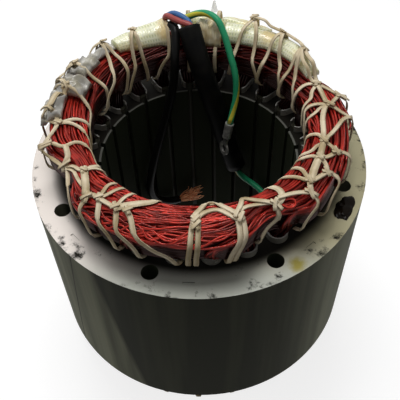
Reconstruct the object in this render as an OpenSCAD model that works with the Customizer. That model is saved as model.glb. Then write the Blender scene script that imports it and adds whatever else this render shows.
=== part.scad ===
// Generator stator: a slotted lamination stack carrying twelve basket-wound coils with laced end
// turns, glass-fibre sleeves over the joints and its leads put away in the bore.
// Millimetres, +Z up along the rotor axis, floor at z = 0 under the lower end turns.

/* [Core] */
// Outside diameter of the lamination stack
core_od = 190; // [180:1:205]
// Radial width of the yoke behind the slots
yoke_w = 19; // [18:0.5:24]
// Length of the lamination stack
core_len = 116; // [90:1:150]
// Diameter of the clearance holes through the yoke
hole_d = 9; // [7:0.5:10]
// Distance of the yoke holes from the rim, to their centres
hole_inset = 12; // [10:0.5:12.5]

/* [Slots] */
// Radial depth of a slot measured from the bore
slot_depth = 20; // [18:0.5:22]
// Width of the parallel tooth between two slots
tooth_w = 7; // [6:0.25:8]
// Radial thickness of the tooth tips
tip_t = 2.2; // [1.5:0.1:3]
// Width of the slot mouth at the bore
mouth_w = 3; // [2:0.25:4]
// Thickness of the slot liner
liner_t = 0.8; // [0.5:0.1:1]
// Height of the liner cuff above each core face
cuff_h = 4; // [2:0.5:5]
// Thickness of the slot wedge
wedge_t = 2.4; // [1.5:0.1:3]

/* [End turns] */
// Height of the end turns above the core face
crown_h = 32; // [26:1:40]
// Clear height between the core face and the underside of the end turns
base_h = 10; // [9:0.5:12]
// Radial bulge of the end turns beyond the slot bottoms
bulge = 5.5; // [2:0.5:7]
// Share by which the shoulders of the end turns drop below their crest
shoulder = 0.16; // [0.05:0.01:0.25]
// Rise of the underside of the end turns towards their inner and outer edges
tuck = 3; // [0:0.5:4]

/* [Lacing] */
// Width of the lacing tape
lace_w = 3.6; // [2:0.2:5]
// Thickness of the lacing tape
lace_t = 2.2; // [1:0.2:3]

/* [Sleeves and leads] */
// Diameter of the glass-fibre sleeves over the joints
glass_d = 12; // [9:0.5:13]
// Diameter of the black lead sleeve
sleeve_d = 13; // [11:0.5:14]
// Diameter of the stripped black lead
black_d = 5.5; // [4.5:0.5:6]
// Diameter of the earth lead and of the lead along the bore wall
earth_d = 4; // [3:0.25:4]
// Diameter of the red and blue leads
wire_d = 3.6; // [3:0.2:3.6]
// Thickness of the joint wraps
wrap_t = 5; // [3:0.5:7]

/* [Hidden] */
$fn = 64;

// Fits
clear = 0.1;
lace_gap = 0.3;
rest_gap = 0.2;
strand_gap = 0.15;
bolt_air = 0.6;
throat_air = 1.5;

// Core: eight yoke holes, every other one kept clear of the end turns for a through bolt
core_r = core_od / 2;
slot_r = core_r - yoke_w;
bore_r = slot_r - slot_depth;
hole_r = core_r - hole_inset;
coils = 12;
slots = 2 * coils;
pitch = 360 / slots;
slot_phase = 1.5 * pitch;
holes = 8;
bolts = 4;
bolt_phase = slot_phase + 1.5 * pitch;
dimple = [1.6, 6, 0.5];
dimple_inset = 8.7;
dimple_lag = 13.8;
overhang = crown_h + lace_gap + lace_t;
z_low = overhang;
z_top = overhang + core_len;
z_mid = overhang + core_len / 2;

// Slot outline: two circles that touch both tooth sides, joined by the tangent flanks
half_s = sin(pitch / 2);
half_c = cos(pitch / 2);
out_r = (slot_r * half_s - tooth_w / 2) / (1 + half_s);
out_x = slot_r - out_r;
in_x = (bore_r + tip_t - tooth_w / 2) / (1 - half_s);
in_r = in_x * half_s - tooth_w / 2;
lining = clear + liner_t;
wedge_x = in_x - in_r + lining + clear + wedge_t;

// Coil leg inside the slot
leg_in = wedge_x + clear;
leg_out = slot_r - lining - clear;
leg_r = (leg_in + leg_out) / 2;
leg_a = (leg_out - leg_in) / 2;
leg_b = in_r - lining - 2 * clear;

// End turns: each coil spirals from the outside to the inside of the crown over its span
span = 180 - pitch;
lanes = span / (360 / coils);
lane_room = 1.8;
turn_in = bore_r + throat_air + lace_t + lace_gap + lane_room;
turn_out = slot_r + bulge;
turn_dent = hole_r - hole_d / 2 - bolt_air - lace_t - lace_gap - lane_room;
pivot = 1;
leg_rise = 0.5;
swing = 0.7;
swell = 0.8;
waist = 0.97;
round_h = 0.45;
square_h = 0.92;
ridge = 0.54;
groove = 0.08;
arc_step = 8.5;
bend_steps = 3;

// Outer lane radius at an absolute angle: pressed in where a through bolt passes
function lane_out(t) =
    turn_out - max(0, turn_out - turn_dent) * pow(max(0, cos(bolts * (t - bolt_phase))), 4);
function lane_r(t, u) = turn_in + u * (lane_out(t) - turn_in);
function lane_t(t) = (lane_out(t) - turn_in) / lanes / 2 - strand_gap;
function crest(u) = crown_h * (1 - shoulder * pow(abs(2 * u - 1), 3));
function under(u) = base_h + tuck * pow(abs(2 * u - 1), 3);
function mix(a, b, k) = a + (b - a) * k;

// Top and underside of the coil in a lane: level with the crown at the outer of its two ridges
ridge_share = ridge / lanes / 2;
function ridge_u(u) = 0.5 + abs(u - 0.5) + ridge_share;
function lane_top(u) = crest(ridge_u(u));
function lane_low(u) = under(ridge_u(u));

// Unit section of a coil bundle: two ridges and a groove above and below; full = 1 squares its corners
function unit(full) =
    let (h = mix(round_h, square_h, full))
    [
        [waist, h], [ridge, 1], [0, 1 - groove], [-ridge, 1], [-waist, h],
        [-waist, -h], [-ridge, -1], [0, groove - 1], [ridge, -1], [waist, -h]
    ];

// One ring of the coil: angle, radius, height, heading in the unrolled plane, half sizes, fullness
function ring(t, r, z, head, a, b, full) = [
    for (p = unit(full))
        let (w = t - p[1] * b * sin(head) / r * 180 / PI, q = r + p[0] * a)
        [q * cos(w), q * sin(w), z + p[1] * b * cos(head)]
];

// Rings of the bend at one end of a coil: end = 1 rises from the first leg, -1 drops to the second
function bend(t0, at, u, end) = [
    for (j = [0:bend_steps])
        let (
            i = end > 0 ? j : bend_steps - j,
            turn = 90 * i / bend_steps,
            head = end * (90 - turn),
            k = min(1, swing + i / bend_steps),
            r_to = lane_r(t0 + at, u),
            r = mix(leg_r, r_to, k),
            a = mix(leg_a, lane_t(t0 + at), k),
            w = mix(2 * leg_b, lane_top(u) - lane_low(u), pow(sin(turn), swell)),
            c = pivot + w / 2,
            s = end * (pivot + leg_b) - sin(head) * c,
            z = lane_low(u) - pivot + cos(head) * c
        )
        ring(t0 + at + s / r * 180 / PI, r, z_top + z, head, a, w / 2, i / bend_steps)
];

// Rings of the run between the two bends
function run(t0) =
    let (
        first = (pivot + leg_b) / lane_r(t0, 1) * 180 / PI,
        last = span - (pivot + leg_b) / turn_in * 180 / PI,
        n = round((last - first) / arc_step)
    )
    [
        for (i = [1:n - 1])
            let (t = first + (last - first) * i / n, u = 1 - t / span, h = lane_top(u) - lane_low(u))
            ring(t0 + t, lane_r(t0 + t, u), z_top + lane_low(u) + h / 2, 0, lane_t(t0 + t), h / 2, 1)
    ];

function upper_half(t0) = concat(
    [ring(t0, leg_r, z_top + cuff_h + leg_rise, 90, leg_a, leg_b, 0)],
    bend(t0, 0, 1, 1),
    run(t0),
    bend(t0, span, 0, -1),
    [ring(t0 + span, leg_r, z_top + cuff_h + leg_rise, -90, leg_a, leg_b, 0)]
);

function mirrored(rings) = [
    for (i = [len(rings) - 1:-1:0]) [for (p = rings[i]) [p[0], p[1], 2 * z_mid - p[2]]]
];

// Faces of a tube of rings with m points each; closed joins the last ring to the first
function skin(n, m, closed) = [
    for (i = [0:(closed ? n - 1 : n - 2)], j = [0:m - 1], half = [0, 1])
        let (a = i * m, b = ((i + 1) % n) * m, k = (j + 1) % m)
        half == 0 ? [a + j, b + j, b + k] : [a + j, b + k, a + k]
];

// Smooth route through hand-chosen points, n steps between two of them; the ends keep their curvature
function before(p) = 3 * p[0] - 3 * p[1] + p[2];
function after(p, n) = 3 * p[n - 1] - 3 * p[n - 2] + p[n - 3];
function between(p, i, k) =
    let (
        n = len(p),
        a = i == 0 ? before(p) : p[i - 1],
        b = p[i],
        c = p[i + 1],
        d = i + 2 == n ? after(p, n) : p[i + 2]
    )
    0.5 * (2 * b + (c - a) * k + (2 * a - 5 * b + 4 * c - d) * k * k + (3 * b - a - 3 * c + d) * k * k * k);
function route(p, n) = concat(
    [for (i = [0:len(p) - 2], j = [0:n - 1]) between(p, i, j / n)],
    [p[len(p) - 1]]
);
function one(v) = v / norm(v);
function heading(p, i) = one(p[min(len(p) - 1, i + 1)] - p[max(0, i - 1)]);
function carried(p, i) =
    i == 0 ? one(cross(heading(p, 0), [0.3, 0.2, 0.93]))
    : let (t = heading(p, i), n = carried(p, i - 1)) one(n - (n * t) * t);
function tube_points(p, d, m) = [
    for (i = [0:len(p) - 1])
        let (t = heading(p, i), n = carried(p, i), b = cross(t, n))
        for (j = [0:m - 1]) p[i] + d / 2 * (cos(j * 360 / m) * n + sin(j * 360 / m) * b)
];

// Outline round the crown at an absolute angle, grown by g: inside, over the crest, outside, under
edge_share = 1 / 3;
stations = [0.04, 0.15, 0.3, 0.5, 0.7, 0.85, 0.96];
function girdle(t, g) =
    let (
        lo = lane_r(t, 0) - lane_t(t) - g,
        hi = lane_r(t, 1) + lane_t(t) + g,
        e = g * edge_share
    )
    concat(
        [[lo, under(0) - e], [lo, crest(0) + e]],
        [for (u = stations) [lane_r(t, u), crest(u) + g]],
        [[hi, crest(1) + e], [hi, under(1) - e]],
        [for (i = [len(stations) - 1:-1:0]) [lane_r(t, stations[i]), under(stations[i]) - g]]
    );

// Upper outline of the lacing away from the bolts, and the height at which a round rests on it
over = [for (p = girdle(bolt_phase + 45, lace_gap + lace_t)) if (p[1] > crown_h / 2) p];
function rest_on(r, d) = max([
    for (k = [-10:10]) let (s = k / 20 * d) lookup(r + s, over) + sqrt(pow(d / 2 + rest_gap, 2) - s * s)
]);
function at_lane(u) = turn_in + u * (turn_out - turn_in);

// Pieces laid on the crest one after another, as arcs in degrees from the end of the left sleeve
crest_r = at_lane(0.5);
glass_end = 122;
crest_air = 1.5;
left_arc = 26;
wrap_arc = 9;
wrap_step = 13;
wraps = 4;
lead_arc = 15;
bundle_arc = 12;
bundle_air = 2;
right_arc = 52.5;
back_air = 7.5;
back_arc = 40;
tip_back = 15;
run_air = 8;
left_to = glass_end + left_arc;
bundle_to = glass_end - lead_arc;
right_to = bundle_to - bundle_arc - bundle_air;
back_to = glass_end - back_air;
run_to = right_to - right_arc - run_air;
function wrap_to(i) = left_to + crest_air + i * wrap_step + wrap_arc;
run_arc = 360 + run_to - wrap_to(wraps - 1) - run_air;
right_r = at_lane(0.42);
right_d = 0.8 * glass_d;
back_d = right_d;
back_r = right_r + (right_d + back_d) / 2 + rest_gap;
tip_h = 6.5;
tip_d = 0.35 * glass_d;

// Lead routes: the leads leave the end face of the left glass sleeve; heights from the core's top face
glass_out = [cos(glass_end), sin(glass_end), 0];
glass_on = [sin(glass_end), -cos(glass_end), 0];
glass_mid = crest_r * glass_out + [0, 0, z_top + rest_on(crest_r, glass_d)];
function out_of_glass(radial, up, on = 0) = glass_mid + radial * glass_out + on * glass_on + [0, 0, up];
function up_at(x, y, z) = [x, y, z_top + z];
mouth = up_at(-22, 56.5, 46.5);
sleeve_route = [
    mouth, up_at(-19, 53, 39), up_at(-14.5, 49, 29), up_at(-9, 46.5, 14),
    up_at(-2, 46.5, -10), up_at(5, 46.5, -36), up_at(11, 46.5, -54)
];
mouth_face = mouth + clear * one(mouth - sleeve_route[1]);
mouth_side = [2.2, 0.6, 0.6];
red_route = [
    out_of_glass(0.8, 3.4), up_at(-36.8, 60.9, 46.6), up_at(-33.2, 59.3, 47.8), up_at(-28.2, 57.5, 48.2),
    mouth_face - mouth_side
];
blue_route = [
    out_of_glass(3.6, 0.9), up_at(-37.6, 66, 44.2), up_at(-33.6, 64.3, 48.3), up_at(-28.4, 61, 50.3),
    up_at(-23.5, 58.5, 49.8), mouth_face + mouth_side
];
black_route = [
    out_of_glass(-3.1, 0.9, 1.6), up_at(-32.4, 57.4, 41.5), up_at(-31, 54.2, 40), up_at(-30.5, 51, 37),
    up_at(-30.1, 48, 33), up_at(-29.8, 45.8, 28.5), up_at(-29.5, 44.3, 22.5), up_at(-30, 42, 10),
    up_at(-33.5, 39, -12), up_at(-40, 32.5, -40), up_at(-44, 26.5, -62), up_at(-44.5, 25.5, -76),
    up_at(-42.5, 29.5, -88.5), up_at(-37.5, 36, -96.5), up_at(-29.5, 42, -98.5)
];
earth_route = [
    out_of_glass(2.2, -3), up_at(-34.8, 64.5, 39.5), up_at(-27, 65.8, 43.7), up_at(-21.5, 67.3, 46.3),
    up_at(-16, 67.5, 47.8), up_at(-11, 66.3, 47.8), up_at(-6.2, 63.5, 46.5), up_at(-1.2, 59.5, 40),
    up_at(3.8, 54.6, 30), up_at(8.2, 50.5, 19), up_at(9.6, 47, 8), up_at(9, 43.5, -1), up_at(8, 39.5, -9)
];
wall_route = [
    up_at(11, 46.5, -54.2), up_at(12.5, 46.8, -60), up_at(16, 47.5, -65.5), up_at(22, 47.3, -69.5),
    up_at(29, 44.5, -71.5), up_at(36.5, 38.5, -73.5), up_at(44, 29.5, -76.5), up_at(50, 17, -81.5),
    up_at(53, 3, -88.5), up_at(52, -12, -98), up_at(45, -27.5, -109), [32, -42, 26.5],
    [15, -50.5, 12.5], [-2.5, -52.5, 4.5], [-19.5, -49.3, 3]
];
strands_run = [17, 6, 6];
strands_flare = [0.7, 1.2];
terminal_run = [-3.5, -3.3, -25];

module slot_outline(in) {
    translate([in_x, 0]) circle(in_r - in);
    translate([out_x, 0]) circle(out_r - in);
    polygon([
        [in_x - (in_r - in) * half_s, (in_r - in) * half_c],
        [out_x - (out_r - in) * half_s, (out_r - in) * half_c],
        [out_x - (out_r - in) * half_s, -(out_r - in) * half_c],
        [in_x - (in_r - in) * half_s, -(in_r - in) * half_c]
    ]);
}

module each_slot() {
    for (i = [0:slots - 1]) rotate(slot_phase + i * pitch) children();
}

module stack_section() {
    difference() {
        circle(core_r, $fn = 180);
        circle(bore_r, $fn = 180);
        each_slot() {
            slot_outline(0);
            translate([bore_r - 1, -mouth_w / 2]) square([in_x - bore_r + 1, mouth_w]);
        }
        for (i = [0:holes - 1]) rotate(bolt_phase + i * 360 / holes)
            translate([hole_r, 0]) circle(d = hole_d);
    }
}

// Pressed marks that lock the sheets together, one after each yoke hole, seen on both end faces
module interlock_marks() {
    for (i = [0:holes - 1], z = [z_low, z_top])
        rotate(bolt_phase + dimple_lag + i * 360 / holes)
            translate([core_r - dimple_inset, 0, z])
                cube([dimple[0], dimple[1], 2 * dimple[2]], center = true);
}

module lamination_stack() {
    color("DimGray") difference() {
        translate([0, 0, z_low]) linear_extrude(core_len) stack_section();
        interlock_marks();
    }
}

module slot_liners() {
    color("LightGray") translate([0, 0, z_low - cuff_h]) each_slot()
        linear_extrude(core_len + 2 * cuff_h) difference() {
            slot_outline(clear);
            slot_outline(lining);
            translate([bore_r, -mouth_w / 2 - 1]) square([in_x - bore_r, mouth_w + 2]);
        }
}

module slot_wedges() {
    color("Tan") translate([0, 0, z_low - cuff_h / 2]) each_slot()
        linear_extrude(core_len + cuff_h) intersection() {
            slot_outline(lining + clear);
            translate([bore_r, -in_r]) square([wedge_x - bore_r, 2 * in_r]);
        }
}

module coil(i) {
    half = upper_half(slot_phase + i * 360 / coils);
    rings = concat(half, mirrored(half));
    color("FireBrick") polyhedron(
        [for (g = rings) for (p = g) p], skin(len(rings), len(rings[0]), true), convexity = 8
    );
}

module lace_loops() {
    for (i = [0:slots - 1])
        let (t = slot_phase + (i + 0.5) * pitch)
        rotate(t) rotate([90, 0, 0]) translate([0, 0, -lace_w / 2]) linear_extrude(lace_w) difference() {
            polygon(girdle(t, lace_gap + lace_t));
            polygon(girdle(t, lace_gap));
        }
}

module upper_lacing() {
    color("Wheat") translate([0, 0, z_top]) lace_loops();
}

module lower_lacing() {
    color("Wheat") translate([0, 0, z_low]) mirror([0, 0, 1]) lace_loops();
}

// Piece of tape or sleeve that follows the crest over an arc that ends at an angle
module along_crest(arc, to) {
    rotate(to - arc) rotate_extrude(angle = arc, $fn = 96) children();
}

module lacing_run() {
    color("Wheat") along_crest(run_arc, run_to)
        translate([crest_r - lace_w / 2, z_top + rest_on(crest_r, 0)]) square([lace_w, lace_t]);
}

module glass_sleeve(arc, to, r, d) {
    color("PaleGoldenrod") along_crest(arc, to) translate([r, z_top + rest_on(r, d)]) circle(d = d);
}

module glass_sleeve_left() { glass_sleeve(left_arc, left_to, crest_r, glass_d); }
module glass_sleeve_right() { glass_sleeve(right_arc, right_to, right_r, right_d); }
module glass_sleeve_back() { glass_sleeve(back_arc, back_to, back_r, back_d); }

// Wrap that lies over the lacing between two radii and follows its outline
module joint_wrap(arc, to, r0, r1) {
    low = concat(
        [[r0, lookup(r0, over)]],
        [for (p = over) if (p[0] > r0 && p[0] < r1) p],
        [[r1, lookup(r1, over)]]
    );
    color("Gainsboro") along_crest(arc, to) translate([0, z_top + rest_gap])
        polygon(concat(low, [for (i = [len(low) - 1:-1:0]) low[i] + [0, wrap_t]]));
}

// Wraps in a row behind the left sleeve
module row_wrap(i, u0, u1) {
    joint_wrap(wrap_arc, wrap_to(i), at_lane(u0), at_lane(u1));
}

module joint_wrap_1() { row_wrap(0, 0.67, 1); }
module joint_wrap_2() { row_wrap(1, 0.47, 1.1); }
module joint_wrap_3() { row_wrap(2, 0.16, 1.1); }
module joint_wrap_4() { row_wrap(3, 0.57, 1.1); }
module joint_bundle() {
    joint_wrap(bundle_arc, bundle_to, at_lane(0.21), back_r - back_d / 2 - rest_gap);
}

module sleeve_tip() {
    foot = z_top + rest_on(back_r, back_d) + back_d / 2 + rest_gap;
    color("WhiteSmoke") rotate(back_to - tip_back) translate([back_r, 0, foot])
        cylinder(h = tip_h, d1 = tip_d, d2 = tip_d / 3);
}

module cord(p, d, m) {
    n = len(p);
    ends = [[for (j = [0:m - 1]) j], [for (j = [m - 1:-1:0]) (n - 1) * m + j]];
    polyhedron(tube_points(p, d, m), concat(skin(n, m, false), ends), convexity = 6);
}

module lead_sleeve() { color("Black") cord(route(sleeve_route, 1), sleeve_d, 12); }
module red_lead() { color("Red") cord(route(red_route, 2), wire_d, 8); }
module blue_lead() { color("Blue") cord(route(blue_route, 2), wire_d, 8); }
module black_lead() { color("Black") cord(route(black_route, 1), black_d, 10); }
module earth_lead() { color("Green") cord(route(earth_route, 1), earth_d, 8); }
module wall_lead() { color("Green") cord(route(wall_route, 1), earth_d, 8); }

// Turns +Z to the direction from a to b and starts at a
module aimed(a, b) {
    v = b - a;
    translate(a) rotate([0, acos(v[2] / norm(v)), atan2(v[1], v[0])]) children();
}

module black_lead_strands() {
    last = black_route[len(black_route) - 1];
    way = one(strands_run);
    color("Peru") aimed(last + clear * way, last + strands_run)
        cylinder(h = norm(strands_run), d1 = strands_flare[0] * black_d, d2 = strands_flare[1] * black_d);
}

module earth_terminal() {
    last = earth_route[len(earth_route) - 1];
    barrel = 11;
    barrel_t = 0.8;
    eye = 9.5;
    stud = 5.3;
    plate = 1.2;
    neck = 4;
    color("Silver") aimed(last + clear * one(terminal_run), last + terminal_run) {
        cylinder(h = barrel, d = earth_d + 2 * barrel_t);
        difference() {
            union() {
                translate([-plate / 2, -neck / 2, barrel - plate]) cube([plate, neck, eye]);
                translate([-plate / 2, 0, barrel + eye]) rotate([0, 90, 0]) cylinder(h = plate, d = eye);
            }
            translate([-plate, 0, barrel + eye]) rotate([0, 90, 0]) cylinder(h = 2 * plate, d = stud);
        }
    }
}

lamination_stack();
slot_liners();
slot_wedges();
coil(0);  // coil_01
coil(1);  // coil_02
coil(2);  // coil_03
coil(3);  // coil_04
coil(4);  // coil_05
coil(5);  // coil_06
coil(6);  // coil_07
coil(7);  // coil_08
coil(8);  // coil_09
coil(9);  // coil_10
coil(10);  // coil_11
coil(11);  // coil_12
upper_lacing();
lower_lacing();
lacing_run();
glass_sleeve_left();
glass_sleeve_right();
glass_sleeve_back();
joint_wrap_1();
joint_wrap_2();
joint_wrap_3();
joint_wrap_4();
joint_bundle();
sleeve_tip();
lead_sleeve();
red_lead();
blue_lead();
black_lead();
black_lead_strands();
earth_lead();
earth_terminal();
wall_lead();
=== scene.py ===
"""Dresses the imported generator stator: wire-wound coils, lacing, sleeves, leads and their finishes."""

import logging
import math
import random
from collections.abc import Sequence
from dataclasses import dataclass
from enum import Enum
from typing import Any, ClassVar, NamedTuple

import bpy
from mathutils import Matrix, Vector, noise


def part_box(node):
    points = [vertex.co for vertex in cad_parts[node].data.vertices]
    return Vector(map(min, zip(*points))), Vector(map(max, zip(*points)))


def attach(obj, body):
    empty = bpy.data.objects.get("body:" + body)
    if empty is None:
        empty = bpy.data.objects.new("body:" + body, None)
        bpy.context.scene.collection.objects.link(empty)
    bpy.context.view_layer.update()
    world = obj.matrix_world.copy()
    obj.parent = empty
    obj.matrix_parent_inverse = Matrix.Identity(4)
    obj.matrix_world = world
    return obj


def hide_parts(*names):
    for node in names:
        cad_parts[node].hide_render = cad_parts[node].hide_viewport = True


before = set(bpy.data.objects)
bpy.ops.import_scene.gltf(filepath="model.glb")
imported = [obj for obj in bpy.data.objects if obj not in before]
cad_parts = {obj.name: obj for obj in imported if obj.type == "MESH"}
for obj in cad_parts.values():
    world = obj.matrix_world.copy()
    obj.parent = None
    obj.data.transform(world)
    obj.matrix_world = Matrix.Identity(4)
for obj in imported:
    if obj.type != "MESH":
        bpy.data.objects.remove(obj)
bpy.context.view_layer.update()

MM = 0.001
BODY = "root"
CORE_LOW, CORE_HIGH = (corner.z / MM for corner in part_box("lamination_stack"))
PICTURE_TURN = 18.5
COLOUR: dict[str, Any] = {"out": 2, "data_type": "RGBA"}
SMOOTH: dict[str, Any] = {"interpolation_type": "SMOOTHSTEP"}
LOG = logging.getLogger("stator")

Point = tuple[float, float, float]
Pair = tuple[float, float]
Inputs = dict[str | int, Any]
Tree = bpy.types.NodeTree
Socket = bpy.types.NodeSocket
Piece = bpy.types.Object


def linear(colour: str) -> tuple[float, float, float, float]:
    """Turns an sRGB hex colour such as "#8c2a22" to linear RGBA."""
    parts = (int(colour[i:i + 2], 16) / 255 for i in (1, 3, 5))
    return (*(c / 12.92 if c <= 0.04045 else ((c + 0.055) / 1.055) ** 2.4 for c in parts), 1.0)


def per_mm(size: float) -> float:
    """Texture scale in 1/m of a pattern that repeats every size millimetres."""
    return 1 / (size * MM)


def bands_per_mm(size: float) -> float:
    """Wave texture scale of bands that repeat every size millimetres."""
    return per_mm(size) * 2 * math.pi / 20


def between(marks: Pair, unit: float = MM) -> Inputs:
    """Map-range limits at two marks, given in millimetres or another unit."""
    return {"From Min": marks[0] * unit, "From Max": marks[1] * unit}


def add(tree: Tree, kind: str, inputs: Inputs, out: str | int = 0, **settings: Any) -> Socket | None:
    """Adds a shader node with its settings, socket values and links.

    Args:
        tree: Node tree that takes the node.
        kind: Node type without its ShaderNode prefix.
        inputs: Socket name or index to a value, a hex colour or the output socket that feeds it.
        out: Name or index of the output socket to hand back.
        settings: Attributes of the node itself.

    Returns:
        The output socket asked for, or None from a node that ends the tree.
    """
    node = tree.nodes.new("ShaderNode" + kind)
    for key, value in settings.items():
        setattr(node, key, value)
    for key, value in inputs.items():
        if isinstance(value, Socket):
            tree.links.new(value, node.inputs[key])
        else:
            node.inputs[key].default_value = linear(value) if isinstance(value, str) else value
    return node.outputs[out] if node.outputs else None


def bare_tree(owner: bpy.types.Material | bpy.types.World) -> Tree:
    """Switches an owner's nodes on and empties its tree.

    Args:
        owner: Material or world.

    Returns:
        The empty node tree.
    """
    owner.use_nodes = True
    owner.node_tree.nodes.clear()
    return owner.node_tree


@dataclass(frozen=True)
class Finish:
    """A surface finish; each kind paints its own node tree."""

    label: ClassVar[str] = "finish"

    def material(self) -> bpy.types.Material:
        """Finds this finish's material, or makes it on first use.

        Returns:
            The material.
        """
        found = bpy.data.materials.get(self.label)
        if found:
            return found
        made = bpy.data.materials.new(self.label)
        tree = bare_tree(made)
        sockets = self.paint(tree, add(tree, "TexCoord", {}, "Object"))
        add(tree, "OutputMaterial", {"Surface": add(tree, "BsdfPrincipled", sockets)})
        return made

    def paint(self, tree: Tree, place: Socket) -> Inputs:
        """Adds the finish's nodes.

        Args:
            tree: Node tree that takes the nodes.
            place: Object coordinates.

        Returns:
            What feeds the shader's sockets.
        """
        raise NotImplementedError


@dataclass(frozen=True)
class EnamelledCopper(Finish):
    """Drawn copper under dark red enamel: each wire a little different, with long pinkish glints."""

    label: ClassVar[str] = "enamelled_copper_wire"
    dark: str = "#1f0503"
    bright: str = "#bd3428"
    glint: str = "#cf7a66"
    patch_mm: float = 9
    # Painted shade: where and how strongly the enamel is darkened low on the crown and on the inner flank at
    # the rear.
    shade_radii: Pair = (69, 64.5)
    shade_rear: Pair = (0, 40)
    shade_foot_off: Pair = (81, 70)
    shade_strength: float = 0.85

    def painted_shade(self, tree: Tree, place: Socket) -> Socket:
        """Share of painted shade, low on the crown and on the inner flank at the rear as the camera sees it.

        Args:
            tree: Node tree that takes the nodes.
            place: Object coordinates.

        Returns:
            The share, 0 to 1.
        """
        flat = add(tree, "Mapping", {"Vector": place, "Scale": (1, 1, 0)})
        radius = add(tree, "VectorMath", {0: flat}, "Value", operation="LENGTH")
        inner = add(tree, "MapRange", {"Value": radius, **between(self.shade_radii)})
        turned = add(tree, "Mapping", {"Vector": place, "Rotation": (0, 0, math.radians(-PICTURE_TURN))})
        away = add(tree, "SeparateXYZ", {0: turned}, "Y")
        rear = add(tree, "MapRange", {"Value": away, **between(self.shade_rear)})
        inner = add(tree, "Math", {0: inner, 1: rear}, operation="MULTIPLY")
        level = add(tree, "SeparateXYZ", {0: place}, "Z")
        middle = (CORE_LOW + CORE_HIGH) / 2 * MM
        off = add(tree, "Math", {0: level, 1: middle}, operation="SUBTRACT")
        off = add(tree, "Math", {0: off}, operation="ABSOLUTE")
        foot = add(tree, "MapRange", {"Value": off, **between(self.shade_foot_off)})
        return add(tree, "Math", {0: inner, 1: foot}, operation="MAXIMUM")

    def paint(self, tree: Tree, place: Socket) -> Inputs:
        """Mixes the enamel by strand and by patches, with painted shade low on the crown, at the rear and on
        the lower rows.

        Args:
            tree: Node tree that takes the nodes.
            place: Object coordinates.

        Returns:
            What feeds the shader's sockets.
        """
        # The strand tone varies at random and carries the painted shade of the lower rows.
        tone = add(tree, "Attribute", {}, "Fac", attribute_name="tone")
        painted_shade = self.painted_shade(tree, place)
        # Share left without the painted shade.
        clean_unshaded = add(tree, "Math", {0: painted_shade, 1: -self.shade_strength, 2: 1.0}, operation="MULTIPLY_ADD")
        patch = add(tree, "TexNoise", {"Vector": place, "Scale": per_mm(self.patch_mm)}, "Fac")
        share = add(tree, "Math", {0: tone, 1: patch}, operation="MULTIPLY")
        lift = add(tree, "MapRange", {"Value": share, "From Min": 0.05, "From Max": 0.55})
        lift = add(tree, "Math", {0: lift, 1: clean_unshaded}, operation="MULTIPLY")
        colour = add(tree, "Mix", {0: lift, 6: self.dark, 7: self.bright}, **COLOUR)
        rough = add(tree, "MapRange", {"Value": patch, "To Min": 0.22, "To Max": 0.42})
        return {"Base Color": colour, "Roughness": rough, "Metallic": 0.38, "Specular IOR Level": 0.12,
                "Specular Tint": self.glint, "Coat Weight": 0.26, "Coat Roughness": 0.1}


@dataclass(frozen=True)
class LacingTape(Finish):
    """Woven polyester lacing tape dipped in varnish: cream, matt, with lengthwise threads and grime."""

    label: ClassVar[str] = "varnished_lacing_tape"
    clean_unshaded: str = "#f0e1c4"
    grimy_and_shaded: str = "#b8a580"
    thread_mm: float = 1.5
    grime_mm: float = 14

    def paint(self, tree: Tree, place: Socket) -> Inputs:
        """Draws threads along the tape, coarser than real so that they show, with painted shade between them,
        and soft grime.

        Args:
            tree: Node tree that takes the nodes.
            place: Object coordinates.

        Returns:
            What feeds the shader's sockets.
        """
        grime = add(tree, "TexNoise", {"Vector": place, "Scale": per_mm(self.grime_mm), "Detail": 4.0}, "Fac")
        sweep = add(tree, "UVMap", {}, uv_map="sweep")
        threads = add(tree, "TexWave", {"Vector": sweep, "Scale": bands_per_mm(self.thread_mm),
                                        "Distortion": 0.6}, "Fac", bands_direction="X")
        dirt = add(tree, "MapRange", {"Value": grime, "From Min": 0.42, "From Max": 0.75})
        # Painted shade between the threads, mixed like the grime towards the grimy colour.
        shade = add(tree, "MapRange", {"Value": threads, "To Min": 0.45, "To Max": 0.0})
        share = add(tree, "Math", {0: dirt, 1: shade}, operation="ADD", use_clamp=True)
        colour = add(tree, "Mix", {0: share, 6: self.clean_unshaded, 7: self.grimy_and_shaded}, **COLOUR)
        bump = add(tree, "Bump", {"Height": threads, "Strength": 0.6, "Distance": 0.3 * MM})
        return {"Base Color": colour, "Normal": bump, "Roughness": 0.75, "Specular IOR Level": 0.08}


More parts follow.
